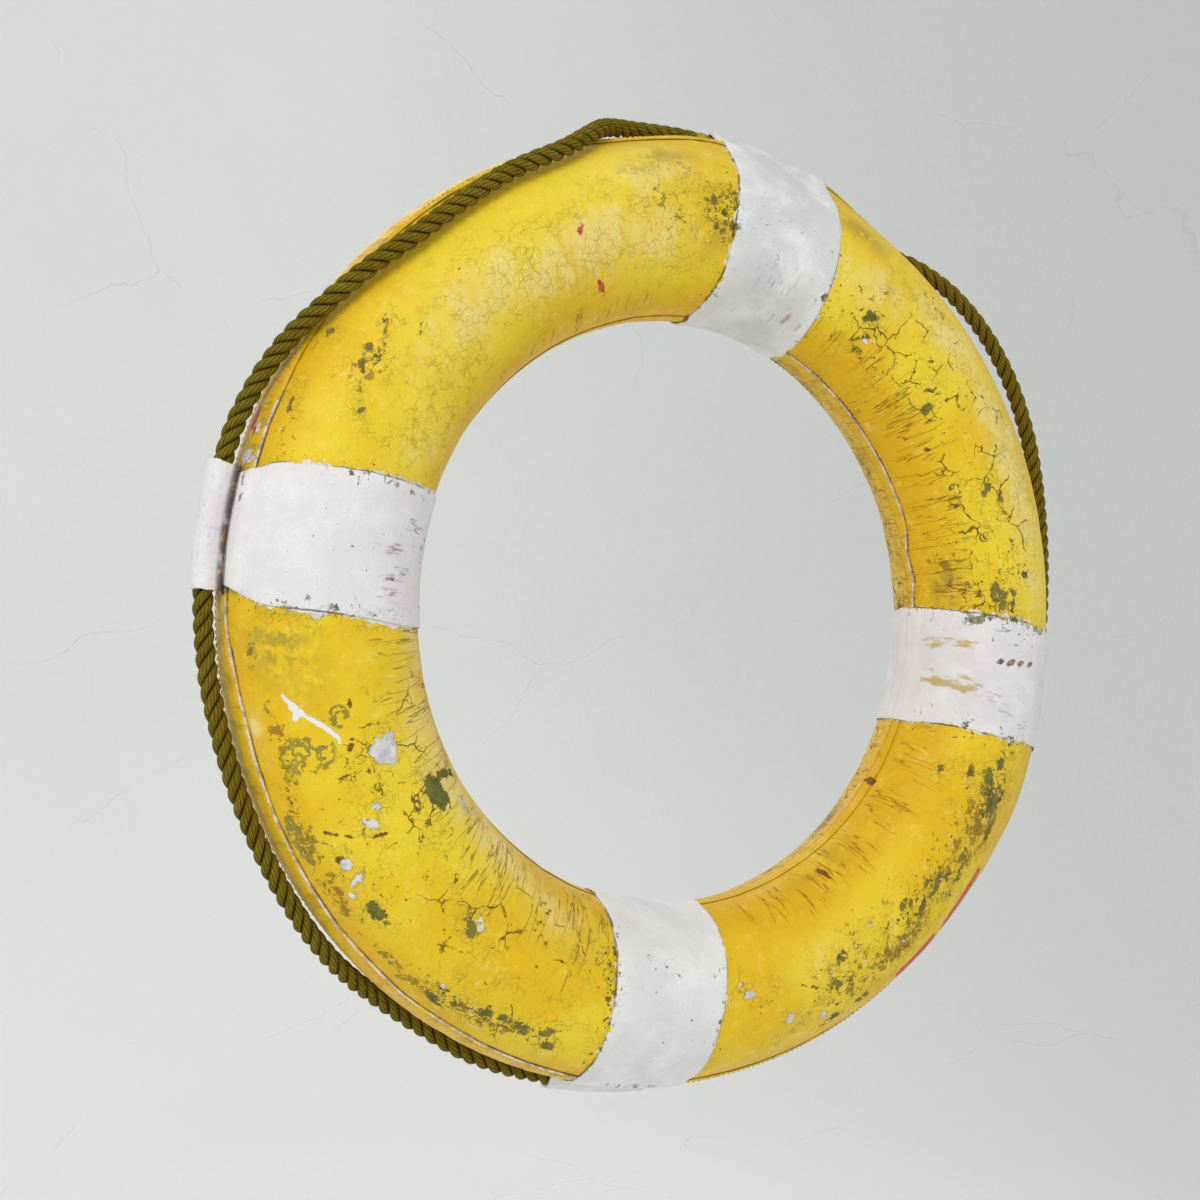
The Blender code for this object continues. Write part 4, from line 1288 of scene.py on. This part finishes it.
def bands(material):
    """Four white bands, each a strip wound once round the section and sewn where its ends lap at the back."""
    sections = np.arange(-180, 180, 1.25)
    shares = np.concatenate([[0, 0.003, 0.02], np.linspace(0.05, 0.95, 41), [0.98, 0.997, 1]])
    lap = step(-128, -126.5, sections) * step(-101, -103, sections)
    for name, middle in BAND_ANGLES.items():
        low, high = band_edges(name, sections)
        across = low[:, None] + (high - low)[:, None] * shares[None, :]
        rings = band_angle(middle, across, sections[:, None])
        from_edge = np.minimum(shares, 1 - shares)[None, :] * (high - low)[:, None]
        place = around(rings, *plain_section(sections[:, None]))
        ripple = 0.00035 * noise(place, 0.022, 91, 2) - 0.0006 * np.exp(-((from_edge / 0.0005) ** 2))
        lift = LIFT + over_tapes(sections)[:, None] + 0.0009 * lap[:, None]
        outer = surface(rings, sections[:, None], lift + CLOTH + ripple)
        few = np.array([0, 0.02, 0.25, 0.5, 0.75, 0.98, 1])
        inner_across = low[:, None] + (high - low)[:, None] * few[None, :]
        inner_rings = band_angle(middle, inner_across, sections[:, None])
        inner = surface(inner_rings, sections[:, None], LIFT + over_tapes(sections)[:, None])
        points, faces = ring_sheet(outer, inner)
        wide = np.broadcast_to(sections[:, None], rings.shape)
        narrow = np.broadcast_to(sections[:, None], inner_rings.shape)
        fields = joined_fields(paint_fields(rings, wide), paint_fields(inner_rings, narrow))
        fields["seam"] = np.full(len(points), 0.02)
        piece = facing_out(mesh_piece(f"canvas_band_{name}", points, faces, fields))
        own(piece, material, f"band_{name}")


def sleeve_profile():
    """The middle of a strap's cloth, from its back foot over the line to the front one, turned under.

    Each point is the distance past the line's centre, and the distance aside towards the front.
    """
    loop = SLEEVE_INNER + SLEEVE_CLOTH / 2
    arch = [(loop * math.cos(math.radians(t)), loop * math.sin(math.radians(t))) for t in range(-112, 105, 8)]
    back = [(-0.0091, -0.0172), (-0.0087, -0.0150), (-0.0084, -0.0128), (-0.0081, -0.0104)]
    back += [(-0.0076, -0.0086), (-0.0066, -0.0073), (-0.0052, -0.0068)]
    front = [(-0.0046, 0.0074), (-0.0066, 0.0074), (-0.0078, 0.0080), (-0.0084, 0.0094)]
    return np.array(back + arch + front)


def sleeves(material):
    """The straps sewn over the line at each band."""
    profile = sleeve_profile()
    lengths = lengths_along(profile)
    even = np.linspace(0, lengths[-1], 61)
    smooth = np.stack([np.interp(even, lengths, profile[:, k]) for k in (0, 1)], axis=-1)
    for _ in range(3):
        smooth[1:-1] = (smooth[:-2] + 2 * smooth[1:-1] + smooth[2:]) / 4
    rise, aside = smooth[None, :, 0], smooth[None, :, 1]
    on_foot = step(0.0072, 0.0100, np.abs(aside)) * (rise < -0.004)
    shares = np.concatenate([[0, 0.004, 0.02], np.linspace(0.05, 0.95, 37), [0.98, 0.996, 1]])
    from_end = np.minimum(shares, 1 - shares)[:, None]
    for index, (name, middle) in enumerate(BAND_ANGLES.items()):
        tilt = SLEEVE_TILTS[name]
        centre = np.array(beside_cover(tilt, ROPE_STAND_OFF))
        out = np.array([math.cos(math.radians(tilt)), math.sin(math.radians(tilt))])
        across = np.array([-out[1], out[0]])
        half = math.degrees(SLEEVE_LENGTH / 2 / ROPE_CIRCLE)
        uneven = 0.0012 * noise(np.stack([even, 0 * even + index, 0 * even], -1), 0.012, 101, 2)
        rings = middle - half + np.degrees(uneven / ROPE_CIRCLE)[None, :] + 2 * half * shares[:, None]
        # The feet lie on the band, whatever the section's curve and the stuffing under it do.
        levels = np.linspace(tilt - 50, tilt + 50, 401)
        reach = (np.stack(plain_section(levels, 0.004), axis=-1) - centre) @ across
        section = np.broadcast_to(np.interp(aside, reach, levels), rings.shape)
        lift = 2 * LIFT + CLOTH + over_tapes(section) + SLEEVE_CLOTH / 2 - 0.0001 + relief(rings, section)
        foot = np.stack(plain_section(section, lift), axis=-1)
        arch = centre + rise[..., None] * out + aside[..., None] * across
        share = on_foot[..., None]
        made = arch * (1 - share) + foot * share
        tangent = unit(np.gradient(made, axis=1))
        outwards = np.stack([tangent[..., 1], -tangent[..., 0]], axis=-1)
        sag = 0.00035 * noise(around(rings, made[..., 0], made[..., 1]), 0.016, 102 + index, 2)
        hem = 0.0006 * step(0.075, 0.055, from_end)
        rounding = -0.0007 * step(0.005, 0.0, from_end)
        outside = SLEEVE_CLOTH / 2 + hem + rounding + np.clip(sag, -0.0004, 0.0006)
        outer = made + outwards * outside[..., None]
        inner = made - outwards * SLEEVE_CLOTH / 2
        points, faces = open_sheet(around(rings, outer[..., 0], outer[..., 1]),
            around(rings, inner[..., 0], inner[..., 1]))
        one = paint_fields(rings, section)
        for key in ("green", "primer", "scrape", "red", "brown"):
            one[key] = np.full(rings.shape, -0.02)
        one["white"] = 0.0075 - 0.0070 * np.exp(-((from_end / 0.02) ** 2)) - 0.0035 * on_foot
        # Painted shade on the sleeve's own cloth, low on its front side where it tucks under towards the
        # band.
        one["crease_shade"] = np.broadcast_to(step(-0.0036, -0.0080, rise) * (aside > 0), rings.shape) * 0.9
        one["chipping"] = np.full(rings.shape, 0.5)
        fields = joined_fields(one, one)
        fields["flow"] = points
        fields["seam"] = np.full(len(points), 0.02)
        piece = facing_out(mesh_piece(f"sleeve_{name}", points, faces, fields, sharp=50))
        own(piece, material, f"becket_sleeve_{name}")


def stitches(starts, ends, ups):
    """Short threads from each start to its end, sunk at both ends."""
    along = ends - starts
    forward = unit(along)
    side = unit(np.cross(forward, ups))
    up = np.cross(side, forward)
    steps = np.array([0, 0.14, 0.38, 0.62, 0.86, 1])
    lift = np.sin(np.pi * steps) * THREAD_ARCH - 0.0003 * (np.abs(steps - 0.5) > 0.45)
    thick = THREAD_RADIUS * np.array([0.55, 0.92, 1, 1, 0.92, 0.55])
    turns = 2 * np.pi * np.arange(7) / 7
    centre = starts[:, None] + along[:, None] * steps[None, :, None] + up[:, None] * lift[None, :, None]
    loop = np.cos(turns)[:, None] * side[:, None, None] + np.sin(turns)[:, None] * up[:, None, None]
    points = centre[:, :, None] + loop * thick[None, :, None, None]
    rows, sides = len(steps), len(turns)
    firsts = np.arange(len(starts)) * rows * sides
    faces = (tube_faces(rows, sides) + firsts[:, None, None]).reshape(-1, 4).tolist()
    for first in firsts.tolist():
        faces += tube_ends(first, rows, sides)
    return points.reshape(-1, 3), faces


def stitch_run(rings, sections, offset, pitch, keep=None):
    """A row of stitches along a line on the cover, given by its ring and section angles."""
    lengths = lengths_along(surface(rings, sections, offset))
    count = int(lengths[-1] / pitch)
    starts_at = (np.arange(count) + 0.1) * lengths[-1] / count
    ends_at = starts_at + 0.72 * lengths[-1] / count
    ring_a, section_a = np.interp(starts_at, lengths, rings), np.interp(starts_at, lengths, sections)
    ring_b, section_b = np.interp(ends_at, lengths, rings), np.interp(ends_at, lengths, sections)
    jitter = np.random.default_rng(7).uniform(-0.35, 0.35, (2, count)) / 1000 / SECTION_ARC
    section_a, section_b = section_a + jitter[0], section_b + jitter[1]
    if keep is not None:
        chosen = keep(ring_a, section_a)
        ring_a, section_a, ring_b, section_b = (x[chosen] for x in (ring_a, section_a, ring_b, section_b))
    starts, ends = surface(ring_a, section_a, offset), surface(ring_b, section_b, offset)
    ups = surface(ring_a, section_a, offset + 0.01) - starts
    points, faces = stitches(starts, ends, ups)
    each = len(points) // len(ring_a)
    fields = paint_fields(np.repeat(ring_a, each), np.repeat(section_a, each))
    fields["seam"] = np.full(len(points), 0.0018)
    fields["white"] = fields["white"] + 0.0015
    return points, faces, fields


def thread_piece(name, runs, material):
    points, faces, shift = [], [], 0
    for run_points, run_faces, _ in runs:
        faces += [[index + shift for index in face] for face in run_faces]
        points.append(run_points)
        shift += len(run_points)
    fields = joined_fields(*(run[2] for run in runs))
    piece = mesh_piece(name, np.concatenate(points), faces, fields, sharp=70)
    piece.data.materials.append(material)
    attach(piece, "ring")


def sewing(tape_paint, white_paint):
    """Stitches along the tapes, round the sleeves' feet and over the laps at the back of the bands."""
    rings = np.linspace(0, 360, 1441)

    def clear_of_bands(ring, section):
        return inside_band(ring, section, plain_section(section)[0]) < -0.002

    def where_tape_shows(ring, section):
        return clear_of_bands(ring, section) & (np.abs(turned(ring, 36)) < 42)

    for name, edges, keep in (("outer", tape_edges, clear_of_bands),
            ("inner", inner_tape_edges, where_tape_shows)):
        front, back = edges(rings)
        inset = INSET / SECTION_ARC
        top = LIFT + CLOTH + 0.0003
        lines = (front - inset, back + inset)
        runs = [stitch_run(rings, sections, top, 0.0046, keep=keep) for sections in lines]
        thread_piece(f"thread_{name}_tape", runs, tape_paint)
    for name, middle in BAND_ANGLES.items():
        runs = []
        across = np.linspace(-0.042, 0.042, 60)
        for section in (-105.5, -123.5):
            line_rings = band_angle(middle, across, section)
            runs.append(stitch_run(line_rings, np.full(60, float(section)), LIFT + CLOTH + 0.0009, 0.0042))
        half = math.degrees(0.040 / ROPE_CIRCLE)
        level = SLEEVE_TILTS[name] - 12.4
        top = 2 * LIFT + CLOTH + float(over_tapes(level)) + SLEEVE_CLOTH
        line_rings = np.linspace(middle - half, middle + half, 60)
        runs.append(stitch_run(line_rings, np.full(60, level), top + 0.0002, 0.0040))
        thread_piece(f"thread_band_{name}", runs, white_paint)


def build():
    camera()
    room()
    line()
    cover_paint = painted("yellow_paint_on_canvas")
    tape_paint = painted("yellow_paint_on_tape", tape=True)
    white_paint = painted("white_paint_on_canvas")
    covers(cover_paint)
    tapes(tape_paint)
    bands(white_paint)
    sleeves(white_paint)
    sewing(tape_paint, white_paint)
    for prefix, material in (("cork_block", cork_material()), ("core_dowel", dowel_material())):
        for name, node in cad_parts.items():
            if name.startswith(prefix):
                node.data.materials.clear()
                node.data.materials.append(material)


build()
